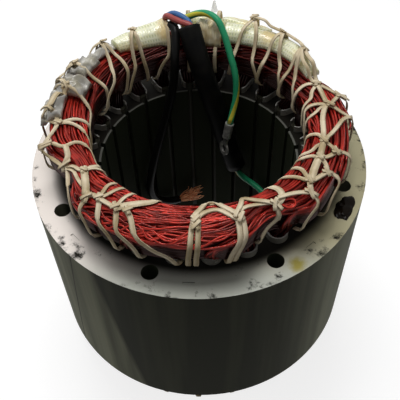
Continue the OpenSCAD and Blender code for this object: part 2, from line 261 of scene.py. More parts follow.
@dataclass(frozen=True)
class GlassBraid(Finish):
    """Braided glass-fibre sleeve soaked in yellow-green varnish: a fine square weave under gloss."""

    label: ClassVar[str] = "glass_fibre_braid"
    thread: str = "#f6f6d6"
    gap: str = "#c9cda0"
    amber: str = "#dcc488"
    braid_mm: float = 1.9
    stain_mm: float = 16
    glow_mm: float = 6

    def paint(self, tree: Tree, place: Socket) -> Inputs:
        """Crosses two sets of threads, coarser than real so that they show, and stains them with varnish.

        Args:
            tree: Node tree that takes the nodes.
            place: Object coordinates.

        Returns:
            What feeds the shader's sockets.
        """
        sweep = add(tree, "UVMap", {}, uv_map="sweep")
        sets = []
        for turn in (0.0, math.pi / 2):
            laid = add(tree, "Mapping", {"Vector": sweep, "Rotation": (0, 0, turn)})
            sets.append(add(tree, "TexWave", {"Vector": laid, "Scale": bands_per_mm(self.braid_mm)}, "Fac",
                            bands_direction="X"))
        weave = add(tree, "Math", {0: sets[0], 1: sets[1]}, operation="MAXIMUM")
        cloth = add(tree, "Mix", {0: weave, 6: self.gap, 7: self.thread}, **COLOUR)
        stain = add(tree, "TexNoise", {"Vector": place, "Scale": per_mm(self.stain_mm), "Detail": 3.0}, "Fac")
        soaked = add(tree, "MapRange", {"Value": stain, "From Min": 0.5, "From Max": 0.72})
        colour = add(tree, "Mix", {0: soaked, 6: cloth, 7: self.amber}, **COLOUR)
        bump = add(tree, "Bump", {"Height": weave, "Strength": 0.4, "Distance": 0.3 * MM})
        return {"Base Color": colour, "Normal": bump, "Roughness": 0.38, "Subsurface Weight": 0.5,
                "Subsurface Radius": (1.0, 0.95, 0.7), "Subsurface Scale": self.glow_mm * MM,
                "Coat Weight": 0.5, "Coat Roughness": 0.12}


@dataclass(frozen=True)
class CrumpledFilm(Finish):
    """Polyester film wrapped by hand round a joint: cloudy white with creases that catch the light."""

    name: str = "clear"
    film: str = "#dddad2"
    shadow: str = "#7f7b72"
    tint: str = "#b9b29a"
    crease_mm: float = 6
    see_through: float = 0.2
    cover: float = 1.0
    cloud_share: float = 2.2

    @property
    def label(self) -> str:
        """Material name with the film's colour in it."""
        return f"crumpled_polyester_film_{self.name}"

    def paint(self, tree: Tree, place: Socket) -> Inputs:
        """Creases the film with sharp-edged cells and clouds it.

        Args:
            tree: Node tree that takes the nodes.
            place: Object coordinates.

        Returns:
            What feeds the shader's sockets.
        """
        creases = add(tree, "TexVoronoi", {"Vector": place, "Scale": per_mm(self.crease_mm)}, "Distance",
                      feature="F1")
        cloud = add(tree, "TexNoise", {"Vector": place, "Scale": per_mm(self.cloud_share * self.crease_mm),
                                       "Detail": 3.0}, "Fac")
        deep = add(tree, "MapRange", {"Value": creases, "From Min": 0.25, "From Max": 0.9})
        grey = add(tree, "Mix", {0: deep, 6: self.film, 7: self.shadow}, **COLOUR)
        warm = add(tree, "MapRange", {"Value": cloud, "From Min": 0.5, "From Max": 0.7})
        colour = add(tree, "Mix", {0: warm, 6: grey, 7: self.tint}, **COLOUR)
        bump = add(tree, "Bump", {"Height": creases, "Strength": 0.25, "Distance": 0.8 * MM})
        return {"Base Color": colour, "Normal": bump, "Roughness": 0.24,
                "Transmission Weight": self.see_through, "Alpha": self.cover}


@dataclass(frozen=True)
class Insulation(Finish):
    """Extruded PVC on a lead, with a stripe where the lead has one: smooth, half gloss, a little dusty."""

    name: str
    ground: str
    stripe: str = "#d2c944"
    stripe_from: float = 0.0
    stripe_to: float = 0.0
    twist: float = 0.0
    gloss: float = 0.2
    dust_mm: float = 5

    @property
    def label(self) -> str:
        """Material name with the colour in it."""
        return f"pvc_insulation_{self.name}"

    def paint(self, tree: Tree, place: Socket) -> Inputs:
        """Runs the stripe along the lead and dulls the ground with dust.

        Args:
            tree: Node tree that takes the nodes.
            place: Object coordinates.

        Returns:
            What feeds the shader's sockets.
        """
        around = add(tree, "UVMap", {}, uv_map="round")
        x, y = (add(tree, "SeparateXYZ", {0: around}, axis) for axis in "XY")
        wound = add(tree, "Math", {0: y, 1: -self.twist, 2: x}, operation="MULTIPLY_ADD")
        turned = add(tree, "Math", {0: wound, 1: 1.0}, operation="FLOORED_MODULO")
        after = add(tree, "Math", {0: turned, 1: self.stripe_from}, operation="GREATER_THAN")
        before = add(tree, "Math", {0: turned, 1: self.stripe_to}, operation="LESS_THAN")
        inside = add(tree, "Math", {0: after, 1: before}, operation="MULTIPLY")
        dust = add(tree, "TexNoise", {"Vector": place, "Scale": per_mm(self.dust_mm), "Detail": 3.0}, "Fac")
        dull = add(tree, "MapRange", {"Value": dust, "To Min": 0.75, "To Max": 1.15})
        colour = add(tree, "Mix", {0: inside, 6: self.ground, 7: self.stripe}, **COLOUR)
        shaded = add(tree, "Mix", {0: 1.0, 6: colour, 7: dull}, blend_type="MULTIPLY", **COLOUR)
        rough = add(tree, "MapRange", {"Value": dust, "To Min": 0.2, "To Max": 0.4})
        return {"Base Color": shaded, "Roughness": rough, "Specular IOR Level": self.gloss}


@dataclass(frozen=True)
class ElectricalSteel(Finish):
    """Stacked silicon-steel sheets: an oily dark wall, a blackened bore and a pale scuffed punched face, with
    painted light and shade.
    """

    label: ClassVar[str] = "electrical_steel_sheets"
    wall: str = "#1d1e16"
    wall_worn: str = "#3f4034"
    sheen: str = "#b4b29a"
    # Painted sheen on the wall's left and right sides.
    wall_edge_sheen: str = "#8f907c"
    # Painted shade in a crease down the wall's left side.
    crease: str = "#0c0c09"
    bore: str = "#24281c"
    # Painted highlight along the bore's top edge.
    bore_edge_highlight: str = "#5e5e58"
    # The face is paler at the camera's left as a painted reflection and olive at its right as a varnish tint.
    face_left_reflection: str = "#d5cdc6"
    face_right: str = "#a39d80"
    # Painted shade: the face is darker towards the camera.
    front_face_shade: str = "#a2a49b"
    # Used for the real smudges and for the painted contact shade round the crown.
    grime: str = "#1c1a17"
    varnish: str = "#8c8244"
    bore_edge_radii: Pair = (57.1, 57.4)
    # Ring round the crown that is darkened to the grime colour: painted contact shade with some grime.
    contact_shade_radii: Pair = (77, 85)
    wall_radii: Pair = (79, 83)
    rim_radii: Pair = (84, 95)
    face_sides: Pair = (-45, 70)
    # Span over which the painted front shade fades.
    front_shade_depth: Pair = (-90, -58)
    edge_from: Pair = (-106.6, 147.3)
    edge_slope: float = -0.108
    edge_left: Pair = (-178, -150)
    edge_right: Pair = (-48, -16)
    edge_fade: Pair = (12, 50)
    crease_from: Pair = (-120, 115)
    crease_slope: float = 0.0933
    stain_at: Point = (69.8, -57.6, 0)
    stain_mm: float = 11
    stain_reach: Pair = (0.55, 1.05)
    sheet_mm: float = 1
    streak_mm: float = 12
    smudge_mm: float = 11
    face_level: float = 0.7
    metal_share: float = 0.35
    edge_soft: Pair = (-0.03, 0.01)
    crease_width: Pair = (0.002, 0.009)
    crease_dark: float = 0.9

    def off_line(self, tree: Tree, place: Socket, start: Pair, slope: float) -> tuple[Socket, Socket]:
        """Bearing on the wall in radians, and how far it is past a slanting line.

        Args:
            tree: Node tree that takes the nodes.
            place: Object coordinates.
            start: Bearing in degrees and level in millimetres of a point on the line.
            slope: Degrees that the line turns for each millimetre upwards.

        Returns:
            The bearing, and the angle from the line to it.
        """
        x, y, z = (add(tree, "SeparateXYZ", {0: place}, axis) for axis in "XYZ")
        bearing = add(tree, "Math", {0: y, 1: x}, operation="ARCTAN2")
        turn = math.radians(slope) / MM
        line = add(tree, "Math", {0: z, 1: turn, 2: math.radians(start[0]) - turn * start[1] * MM},
                   operation="MULTIPLY_ADD")
        return bearing, add(tree, "Math", {0: bearing, 1: line}, operation="SUBTRACT")

    def edges(self, tree: Tree, place: Socket, streaks: Socket) -> Socket:
        """Share of the painted sheen at the wall's left and right, broken up by the streaks.

        Args:
            tree: Node tree that takes the nodes.
            place: Object coordinates.
            streaks: Noise drawn out along the wall.

        Returns:
            The share, 0 to 1.
        """
        degree, falling = math.radians(1), {"To Min": 1.0, "To Max": 0.0}
        bearing, off = self.off_line(tree, place, self.edge_from, self.edge_slope)
        short = add(tree, "MapRange", {"Value": off, **between(self.edge_soft, 1), **falling})
        left, right = (add(tree, "MapRange", {"Value": bearing, **between(marks, degree)}, **SMOOTH)
                       for marks in (self.edge_left, self.edge_right))
        faded = add(tree, "MapRange", {"Value": bearing, **between(self.edge_fade, degree), **falling})
        left = add(tree, "Math", {0: short, 1: left}, operation="MULTIPLY")
        right = add(tree, "Math", {0: right, 1: faded}, operation="MULTIPLY")
        both = add(tree, "Math", {0: left, 1: right}, operation="MAXIMUM")
        streaked = add(tree, "MapRange", {"Value": streaks, "From Min": 0.3, "From Max": 0.65, "To Min": 0.35})
        return add(tree, "Math", {0: both, 1: streaked}, operation="MULTIPLY")

    def crease_shade_share(self, tree: Tree, place: Socket) -> Socket:
        """Share of the painted shade in a crease down the wall's left side.

        Args:
            tree: Node tree that takes the nodes.
            place: Object coordinates.

        Returns:
            The share, 0 to 1.
        """
        off = self.off_line(tree, place, self.crease_from, self.crease_slope)[1]
        size = add(tree, "Math", {0: off}, operation="ABSOLUTE")
        return add(tree, "MapRange", {"Value": size, **between(self.crease_width, 1),
                                      "To Min": self.crease_dark, "To Max": 0.0})

    def paint(self, tree: Tree, place: Socket) -> Inputs:
        """Tells the faces, the bore and the wall apart by place and normal and finishes each in its way.
        Light and shade are painted on the wall's sides and crease, round the crown, on the face's front and
        left, and along the bore's edge.

        Args:
            tree: Node tree that takes the nodes.
            place: Object coordinates.

        Returns:
            What feeds the shader's sockets.
        """
        normal = add(tree, "NewGeometry", {}, "Normal")
        level = add(tree, "Math", {0: add(tree, "SeparateXYZ", {0: normal}, "Z")}, operation="ABSOLUTE")
        is_face = add(tree, "Math", {0: level, 1: self.face_level}, operation="GREATER_THAN")
        flat = add(tree, "Mapping", {"Vector": place, "Scale": (1, 1, 0)})
        radius = add(tree, "VectorMath", {0: flat}, "Value", operation="LENGTH")
        rings = (self.bore_edge_radii, self.contact_shade_radii, self.wall_radii, self.rim_radii)
        off_bore_edge, clean_unshaded, outside, near_rim = (
            add(tree, "MapRange", {"Value": radius, **between(marks)}, **SMOOTH) for marks in rings)

        along = add(tree, "Mapping", {"Vector": place, "Scale": (1, 1, 0.05)})
        streaks = add(tree, "TexNoise", {"Vector": along, "Scale": per_mm(self.streak_mm),
                                         "Detail": 4.0}, "Fac")
        worn = add(tree, "MapRange", {"Value": streaks, "From Min": 0.4, "From Max": 0.75})
        sheets = add(tree, "TexWave", {"Vector": place, "Scale": bands_per_mm(self.sheet_mm),
                                       "Distortion": 2.0}, "Fac", bands_direction="Z")
        lines = add(tree, "MapRange", {"Value": sheets, "To Min": 0.93, "To Max": 1.03})
        wall = add(tree, "Mix", {0: worn, 6: self.wall, 7: self.wall_worn}, **COLOUR)
        wall = add(tree, "Mix", {0: 1.0, 6: wall, 7: lines}, blend_type="MULTIPLY", **COLOUR)
        # Painted sheen at the wall's sides and painted shade in its crease.
        for share, colour in ((self.edges(tree, place, streaks), self.wall_edge_sheen),
                              (self.crease_shade_share(tree, place), self.crease)):
            wall = add(tree, "Mix", {0: share, 6: wall, 7: colour}, **COLOUR)
        wall = add(tree, "Mix", {0: outside, 6: self.bore, 7: wall}, **COLOUR)

        turned = add(tree, "Mapping", {"Vector": place, "Rotation": (0, 0, math.radians(-PICTURE_TURN))})
        x, y = (add(tree, "SeparateXYZ", {0: turned}, axis) for axis in "XY")
        right = add(tree, "MapRange", {"Value": x, **between(self.face_sides)}, **SMOOTH)
        deep = add(tree, "MapRange", {"Value": y, **between(self.front_shade_depth)}, **SMOOTH)
        blots = add(tree, "TexNoise", {"Vector": place, "Scale": per_mm(self.smudge_mm), "Detail": 6.0,
                                       "Roughness": 0.72}, "Fac")
        reach = add(tree, "MapRange", {"Value": near_rim, "To Min": 0.63, "To Max": 0.53})
        over = add(tree, "Math", {0: blots, 1: reach}, operation="SUBTRACT")
        unsmudged = add(tree, "MapRange", {"Value": over, "From Min": 0.0, "From Max": 0.1,
                                           "To Min": 1.0, "To Max": 0.0})
        middle = Vector(self.stain_at) * MM
        spot = add(tree, "VectorMath", {0: flat, 1: middle}, "Value", operation="DISTANCE")
        ragged = add(tree, "Math", {0: blots, 1: self.stain_mm * MM, 2: spot}, operation="MULTIPLY_ADD")
        limits = between(self.stain_reach, self.stain_mm * MM)
        unstained = add(tree, "MapRange", {"Value": ragged, **limits}, **SMOOTH)
        # Painted reflection: paler towards the camera's left; olive towards its right as a varnish tint.
        face = add(tree, "Mix", {0: right, 6: self.face_left_reflection, 7: self.face_right}, **COLOUR)
        # The face takes painted shade towards the front, and painted contact shade with some grime round the
        # crown; smudges and the varnish stain are real; the bore's edge takes a painted highlight.
        for share, colour in ((deep, self.front_face_shade), (unsmudged, self.grime), (unstained, self.varnish),
                              (clean_unshaded, self.grime), (off_bore_edge, self.bore_edge_highlight)):
            face = add(tree, "Mix", {0: share, 6: colour, 7: face}, **COLOUR)

        colour = add(tree, "Mix", {0: is_face, 6: wall, 7: face}, **COLOUR)
        metal = add(tree, "Math", {0: is_face, 1: clean_unshaded}, operation="MULTIPLY")
        metal = add(tree, "Math", {0: metal, 1: self.metal_share}, operation="MULTIPLY")
        scuffed = add(tree, "MapRange", {"Value": blots, "To Min": 0.38, "To Max": 0.6})
        rough = add(tree, "Mix", {0: is_face, 2: 0.7, 3: scuffed})
        bump = add(tree, "Bump", {"Height": sheets, "Strength": 0.06, "Distance": 0.1 * MM})
        return {"Base Color": colour, "Metallic": metal, "Roughness": rough, "Normal": bump,
                "Specular IOR Level": 0.08, "Specular Tint": self.sheen}


@dataclass(frozen=True)
class Clouded(Finish):
    """Two shades of one material in soft clouds, drawn out along the axis or grainy where it is so."""

    name: str
    first: str
    second: str
    cloud_mm: float
    rough: Pair
    detail: float = 2
    reach: Pair = (0, 1)
    along: float = 1
    grain_mm: float = 0
    metallic: float = 0
    gloss: float = 0.5

    @property
    def label(self) -> str:
        """Material name."""
        return self.name

    def paint(self, tree: Tree, place: Socket) -> Inputs:
        """Clouds the first shade with the second, and roughens it with the clouds.

        Args:
            tree: Node tree that takes the nodes.
            place: Object coordinates.

        Returns:
            What feeds the shader's sockets.
        """
        drawn = add(tree, "Mapping", {"Vector": place, "Scale": (1, 1, self.along)})
        cloud = add(tree, "TexNoise", {"Vector": drawn, "Scale": per_mm(self.cloud_mm),
                                       "Detail": self.detail}, "Fac")
        share = add(tree, "MapRange", {"Value": cloud, **between(self.reach, 1)})
        colour = add(tree, "Mix", {0: share, 6: self.first, 7: self.second}, **COLOUR)
        rough = add(tree, "MapRange", {"Value": cloud, "To Min": self.rough[0], "To Max": self.rough[1]})
        sockets = {"Base Color": colour, "Roughness": rough, "Metallic": self.metallic,
                   "Specular IOR Level": self.gloss}
        if self.grain_mm:
            grain = add(tree, "TexNoise", {"Vector": place, "Scale": per_mm(self.grain_mm)}, "Fac")
            sockets["Normal"] = add(tree, "Bump", {"Height": grain, "Strength": 0.2, "Distance": 0.2 * MM})
        return sockets


@dataclass(frozen=True)
class CutFilm(Clouded):
    """Clouded film that lets light through, with a painted highlight on its cut edges."""

    # Painted highlight colour for the edges that look up or down.
    cut: str = "#c9c7c0"
    see_through: float = 0.3

    def paint(self, tree: Tree, place: Socket) -> Inputs:
        """Clouds the film and paints a highlight on the edges that look up or down.

        Args:
            tree: Node tree that takes the nodes.
            place: Object coordinates.

        Returns:
            What feeds the shader's sockets.
        """
        sockets = super().paint(tree, place)
        normal = add(tree, "NewGeometry", {}, "Normal")
        level = add(tree, "Math", {0: add(tree, "SeparateXYZ", {0: normal}, "Z")}, operation="ABSOLUTE")
        # Painted highlight where the normal looks up or down.
        colour = add(tree, "Mix", {0: level, 6: sockets["Base Color"], 7: self.cut}, **COLOUR)
        return {**sockets, "Base Color": colour, "Transmission Weight": self.see_through}


RUBBER = Clouded("black_rubber_sleeve", "#060606", "#171613", 7, (0.4, 0.6), 5, (0.45, 0.8), grain_mm=1.2,
                 gloss=0.06)
COPPER = Clouded("worn_copper", "#ffc08a", "#e8824a", 2.5, (0.2, 0.5), 4, (0.35, 0.7), metallic=0.3)
TIN = Clouded("worn_tinned_copper", "#c9c7c0", "#7c7a74", 3, (0.2, 0.5), 4, (0.35, 0.7), metallic=0.6)
WEDGE_BOARD = Clouded("fibre_slot_wedge", "#3d3c31", "#27261e", 2, (0.4, 0.6), 3, along=0.08, gloss=0.12)
DARK_VARNISH = Clouded("set_dark_varnish", "#080503", "#1d150c", 5, (0.14, 0.14), 3, gloss=0.06)
SLOT_FILM = CutFilm("slot_liner_film", "#b3b0a7", "#6c685f", 9, (0.15, 0.4))
RED = Insulation("red", "#a8504c")
BLUE = Insulation("blue", "#3f6ea8")
BLACK = Insulation("black", "#131312", gloss=0.07)
EARTH = Insulation("green_yellow", "#2b9d6c", stripe_from=0.78, stripe_to=0.99, twist=12.1)
WALL = Insulation("green_yellow_turned", "#2b9d6c", stripe_from=0.3, stripe_to=0.51, twist=12.1)
CLEAR_FILM = CrumpledFilm()
TAN_FILM = CrumpledFilm("tan", "#f4e8c4", "#c2a870", "#f7f0da", 5, 0.1)
TIP_FILM = CrumpledFilm("thin", "#f4f3ee", "#dfddd5", "#efece2", 6, 0.2, 0.4)


def mix(low: float, high: float, share: float) -> float:
    """Value at a share of the way from low to high."""
    return low + (high - low) * share


def ease(share: float) -> float:
    """Share with a soft start and end."""
    return share * share * (3 - 2 * share)


def polar(angle: float, radius: float, level: float) -> Vector:
    """Point at an angle in degrees, a radius and a level."""
    turn = math.radians(angle)
    return Vector((radius * math.cos(turn), radius * math.sin(turn), level))


def heading(path: Sequence[Vector], i: int, closed: bool) -> Vector:
    """Direction of a path at one of its points.

    Args:
        path: Points in order.
        i: Number of the point.
        closed: The path runs back to its start.

    Returns:
        The direction, one long.
    """
    count = len(path)
    ahead = path[(i + 1) % count] if closed else path[min(i + 1, count - 1)]
    behind = path[i - 1] if closed else path[max(i - 1, 0)]
    return (ahead - behind).normalized()


def carried_frames(path: Sequence[Vector], closed: bool = False) -> list[tuple[Vector, Vector, Vector]]:
    """Carries a cross-section along a path without twisting it.

    Args:
        path: Points in order.
        closed: The path runs back to its start.

    Returns:
        The spot, side and up vector at each point.
    """
    frames, side = [], Vector((0.31, 0.22, 0.92))
    for i, spot in enumerate(path):
        way = heading(path, i, closed)
        side = (side - side.dot(way) * way).normalized()
        frames.append((spot, side, way.cross(side)))
    return frames


def circle(spot: Vector, side: Vector, up: Vector, radius: float, sides: int) -> list[Vector]:
    """Points round a spot, from the side vector towards the up vector."""
    turns = (2 * math.pi * j / sides for j in range(sides))
    return [spot + radius * (math.cos(w) * side + math.sin(w) * up) for w in turns]


def smooth_route(stops: Sequence[Vector], steps: int) -> list[Vector]:
    """Runs a curve through stops, its ends keeping their curvature.

    Args:
        stops: Points on the route.
        steps: Points from one stop to the next.

    Returns:
        Points on the curve, the last stop included.
    """
    first = 3 * stops[0] - 3 * stops[1] + stops[2]
    last = 3 * stops[-1] - 3 * stops[-2] + stops[-3]
    known = [first, *stops, last]
    route = []
    for a, b, c, d in zip(known, known[1:], known[2:], known[3:]):
        for j in range(steps):
            k = j / steps
            route.append(0.5 * (2 * b + (c - a) * k + (2 * a - 5 * b + 4 * c - d) * k ** 2
                                + (3 * b - a - 3 * c + d) * k ** 3))
    return [*route, stops[-1].copy()]


def stand(name: str, data: bpy.types.ID) -> Piece:
    """Stands a new object in the scene at the origin.

    Args:
        name: Name of the object.
        data: Its mesh, camera or light.

    Returns:
        The new object.
    """
    piece = bpy.data.objects.new(name, data)
    bpy.context.scene.collection.objects.link(piece)
    return piece


def new_mesh(name: str, points: Sequence[Vector], faces: Sequence[tuple[int, ...]], finish: Finish) -> Piece:
    """Makes an object from points and faces.

    Args:
        name: Name of the piece.
        points: Corners in millimetres.
        faces: Corner numbers of each face.
        finish: Its finish.

    Returns:
        The new object.
    """
    data = bpy.data.meshes.new(name)
    data.from_pydata([p * MM for p in points], [], faces)
    data.materials.append(finish.material())
    return stand(name, data)


class Skein:
    """Gathers swept wires, cords and tapes in millimetres and makes one mesh of them."""

    tape_section: ClassVar[tuple[Pair, ...]] = (
        (-0.36, 0.5), (0.36, 0.5), (0.5, 0.0), (0.36, -0.5), (-0.36, -0.5), (-0.5, 0.0))

    def __init__(self) -> None:
        """Starts empty."""
        self.points: list[Vector] = []
        self.faces: list[tuple[int, ...]] = []
        self.sweep: list[float] = []
        self.round: list[float] = []
        self.tones: list[float] = []

    def loft(self, rings: Sequence[Sequence[Vector]], girth: float, tone: float = 0.5,
             closed: bool = False) -> None:
        """Skins rings of equally many points, and caps the ends of an open row.

        Args:
            rings: Points of each ring, counter-clockwise round the way ahead.
            girth: Distance round a ring in millimetres, for the pattern.
            tone: Shade of this strand, 0 to 1.
            closed: Joins the last ring to the first.
        """
        count, sides, base = len(rings), len(rings[0]), len(self.points)
        reach = [0.0]
        for one, two in zip(rings, [*rings[1:], rings[0]]):
            reach.append(reach[-1] + (two[0] - one[0]).length)
        for ring in rings:
            self.points.extend(ring)
        self.tones.extend([tone] * (count * sides))
        for i in range(count if closed else count - 1):
            here, there = base + i * sides, base + (i + 1) % count * sides
            for j in range(sides):
                k = (j + 1) % sides
                self.faces.append((here + j, here + k, there + k, there + j))
                left, right = j / sides, (j + 1) / sides
                for x, y in ((left, i), (right, i), (right, i + 1), (left, i + 1)):
                    self.sweep.extend((x * girth * MM, reach[y] * MM))
                    self.round.extend((x, reach[y] * MM))
        if not closed:
            last = base + (count - 1) * sides
            for corners in (range(base + sides - 1, base - 1, -1), range(last, last + sides)):
                self.faces.append(tuple(corners))
                self.sweep.extend([0.0, 0.0] * sides)
                self.round.extend([0.0, 0.0] * sides)

    def tube(self, path: Sequence[Vector], radius: float, sides: int = 5, tone: float = 0.5,
             closed: bool = False) -> None:
        """Sweeps a circle along a path in millimetres."""
        rings = [circle(*carried, radius, sides) for carried in carried_frames(path, closed)]
        self.loft(rings, 2 * math.pi * radius, tone, closed)

    def ribbon(self, path: Sequence[Vector], outward: Sequence[Vector], width: float, thick: float,
               tone: float) -> None:
        """Sweeps a flat tape along a path, its broad face to the outward side.

        Args:
            path: Points in order, in millimetres.
            outward: Direction out of the crown at each point.
            width: Width of the tape.
            thick: Thickness of the tape.
            tone: Shade of the tape.
        """
        rings = []
        for i, (spot, out) in enumerate(zip(path, outward)):
            way = heading(path, i, False)
            across = out.cross(way).normalized()
            up = way.cross(across)
            rings.append([spot - x * width * across + y * thick * up for x, y in self.tape_section])
        self.loft(rings, 2 * width, tone)

    def mesh(self, name: str, finish: Finish) -> Piece:
        """Makes the gathered sweeps one smooth object at the origin.

        Args:
            name: Name of the piece.
            finish: Its finish.

        Returns:
            The new object, linked to the scene.
        """
        piece = new_mesh(name, self.points, self.faces, finish)
        data = piece.data
        for layer, places in (("sweep", self.sweep), ("round", self.round)):
            data.uv_layers.new(name=layer).data.foreach_set("uv", places)
        data.attributes.new("tone", "FLOAT", "POINT").data.foreach_set("value", self.tones)
        data.polygons.foreach_set("use_smooth", [True] * len(data.polygons))
        data.update()
        return piece


def put(piece: Piece, slot: str, *nodes: str) -> Piece:
    """Fixes a piece to the stator and hides the nodes it stands for.

    Args:
        piece: The piece.
        slot: Its material slot; not used.
        nodes: Nodes that it stands for.

    Returns:
        The same piece.
    """
    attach(piece, BODY)
    if nodes:
        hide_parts(*nodes)
    LOG.info("%s: %d faces", piece.name, len(piece.data.polygons))
    return piece


class Hump(NamedTuple):
    """A sleeve or wrap on the crest that the lacing passes over."""

    start: float
    end: float
    inner: float
    outer: float
    rise: float


@dataclass(frozen=True)
class Crown:
    """Shape of the end turns, in the millimetres and degrees of the solids."""

    turn_in: float = 61.8
    turn_out: float = 81.5
    turn_dent: float = 73.6
    dent_power: int = 4
    bolts: int = 4
    bolt_phase: float = 45
    height: float = 32
    base: float = 10
    shoulder: float = 0.16
    shoulder_power: int = 3
    tuck: float = 3
    lanes: float = 5.5
    strand_gap: float = 0.15
    ridge_off: float = 0.54
    foot_bend: float = 6
    rim_bend: float = 8
    rim_press: float = 3
    top_lean: float = 0.35
    side_lean: float = 0.25
    hump_margin: float = 1
    hump_ramp: float = 2
    hump_square: int = 3
    hump_flat: float = 0.33
    humps: tuple[Hump, ...] = (
        Hump(122, 148, 63, 79, 10.4), Hump(40.5, 93, 66.5, 78.5, 9.4),
        Hump(74.5, 114.5, 75.1, 84.7, 12.2), Hump(149.5, 158.5, 74, 82, 7.0),
        Hump(162.5, 171.5, 70, 84, 7.0), Hump(175.5, 184.5, 64, 84, 7.0), Hump(188.5, 197.5, 72, 84, 7.0),
    )

    @property
    def depth(self) -> float:
        """Distance from the innermost lane to the outermost."""
        return self.turn_out - self.turn_in

    def lane_out(self, angle: float) -> float:
        """Radius of the outermost lane, pressed in where a through bolt passes."""
        press = max(0.0, math.cos(math.radians(self.bolts * (angle - self.bolt_phase)))) ** self.dent_power
        return self.turn_out - (self.turn_out - self.turn_dent) * press

    def lane(self, angle: float, share: float) -> float:
        """Radius of a lane, 0 inside to 1 outside."""
        return self.turn_in + share * (self.lane_out(angle) - self.turn_in)

    def half_lane(self, angle: float) -> float:
        """Half the thickness of one coil's lane."""
        return (self.lane_out(angle) - self.turn_in) / self.lanes / 2 - self.strand_gap

    def crest(self, share: float) -> float:
        """Height of the end turns above the core face."""
        return self.height * (1 - self.shoulder * abs(2 * share - 1) ** self.shoulder_power)

    def under(self, share: float) -> float:
        """Height of the underside of the end turns above the core face."""
        return self.base + self.tuck * abs(2 * share - 1) ** self.shoulder_power

    def coil_heights(self, share: float) -> Pair:
        """Underside and top of the coil in a lane, set by the outer of the lane's two ridges."""
        ridge = 0.5 + abs(share - 0.5) + self.ridge_off / self.lanes / 2
        return self.under(ridge), self.crest(ridge)

    def level(self, height: float, upper: bool = True) -> float:
        """Level of a height above the core's top face, or as far below its bottom face."""
        return CORE_HIGH + height if upper else CORE_LOW - height

    def seat(self, radius: float, lift: float) -> float:
        """Level at a distance over the upper crest's wires at a radius."""
        share = (radius - self.turn_in) / self.depth
        return self.level(self.crest(min(max(share, 0.0), 1.0)) + lift)

    def hump(self, angle: float, radius: float) -> float:
        """Extra height over the sleeves and wraps on the crest.

        Args:
            angle: Angle from 0 to 360.
            radius: Distance from the axis.

        Returns:
            The height in millimetres.
        """
        rise = 0.0
        for h in self.humps:
            half = (h.outer - h.inner) / 2
            off = abs(radius - h.inner - half) / (half + self.hump_margin)
            ramp = min(angle - h.start, h.end - angle) / self.hump_ramp + 1
            if off < 1 and ramp > 0:
                rise = max(rise, h.rise * (1 - off ** self.hump_square) ** self.hump_flat * min(1.0, ramp))
        return rise

    def outline(self, angle: float, way: float, lift: float, over: bool) -> Pair:
        """Point on the outline round the crown.

        Args:
            angle: Angle round the axis.
            way: -2 under, -1 inner foot, 0 inner rim, 0 to 1 over the crest, 1 outer rim, 2 outer foot.
            lift: Distance from the wires.
            over: Goes over the sleeves and wraps on the crest.

        Returns:
            Radius, and height above the core face.
        """
        inner = self.lane(angle, 0) - self.half_lane(angle) - lift
        outer = self.lane(angle, 1) + self.half_lane(angle) + lift
        rim = lift / self.rim_press
        if way < -1 or way > 2:
            past = min(1.0, -1 - way if way < 0 else way - 2) / 2
            depth, foot = (past, inner) if way < 0 else (1 - past, outer)
            return mix(foot, self.lane(angle, depth), min(1, self.foot_bend * past)), self.under(depth) - lift
        if way < 0:
            return inner, mix(self.under(0), self.crest(0) + rim, way + 1)
        if way > 1:
            return outer, mix(self.crest(1) + rim, self.under(1), way - 1)
        edge = min(1.0, self.rim_bend * min(way, 1 - way))
        radius = mix(inner if way < 0.5 else outer, self.lane(angle, way), edge)
        rise = self.hump(angle % 360, radius) if over else 0.0
        return radius, self.crest(way) + mix(rim, lift, edge) + rise

    def spot(self, angle: float, way: float, lift: float, upper: bool = True, over: bool = True) -> Vector:
        """Point in space on the outline of the upper or lower crown."""
        radius, height = self.outline(angle, way, lift, over and upper)
        return polar(angle, radius, self.level(height, upper))

    def outward(self, spot: Vector, upper: bool) -> Vector:
        """Direction from the middle of the crown's section out through a spot.

        Args:
            spot: Point on the crown.
            upper: On the upper crown rather than the lower.

        Returns:
            The direction, one long.
        """
        flat = Vector((spot.x, spot.y, 0))
        off = flat.length - (self.turn_in + self.turn_out) / 2
        rise = spot.z - self.level((self.height + self.base) / 2, upper)
        on_top = abs(rise) > abs(off) * self.height / self.depth / 2
        out, lift = (self.top_lean, 1) if on_top else (1, self.side_lean)
        return (flat.normalized() * off * out + Vector((0, 0, rise * lift))).normalized()


class Section(NamedTuple):
    """Cross-section of a coil bundle on its way round: place, tilt, half sizes and spread."""

    angle: float
    radius: float
    level: float
    tilt: float
    half_across: float
    half_along: float
    spread: float
    share: float


class Slack(NamedTuple):
    """Ranges that a loose wire's start, arc, way and sway are drawn from."""

    start: Pair
    arc: Pair
    way: Pair
    sway: Pair


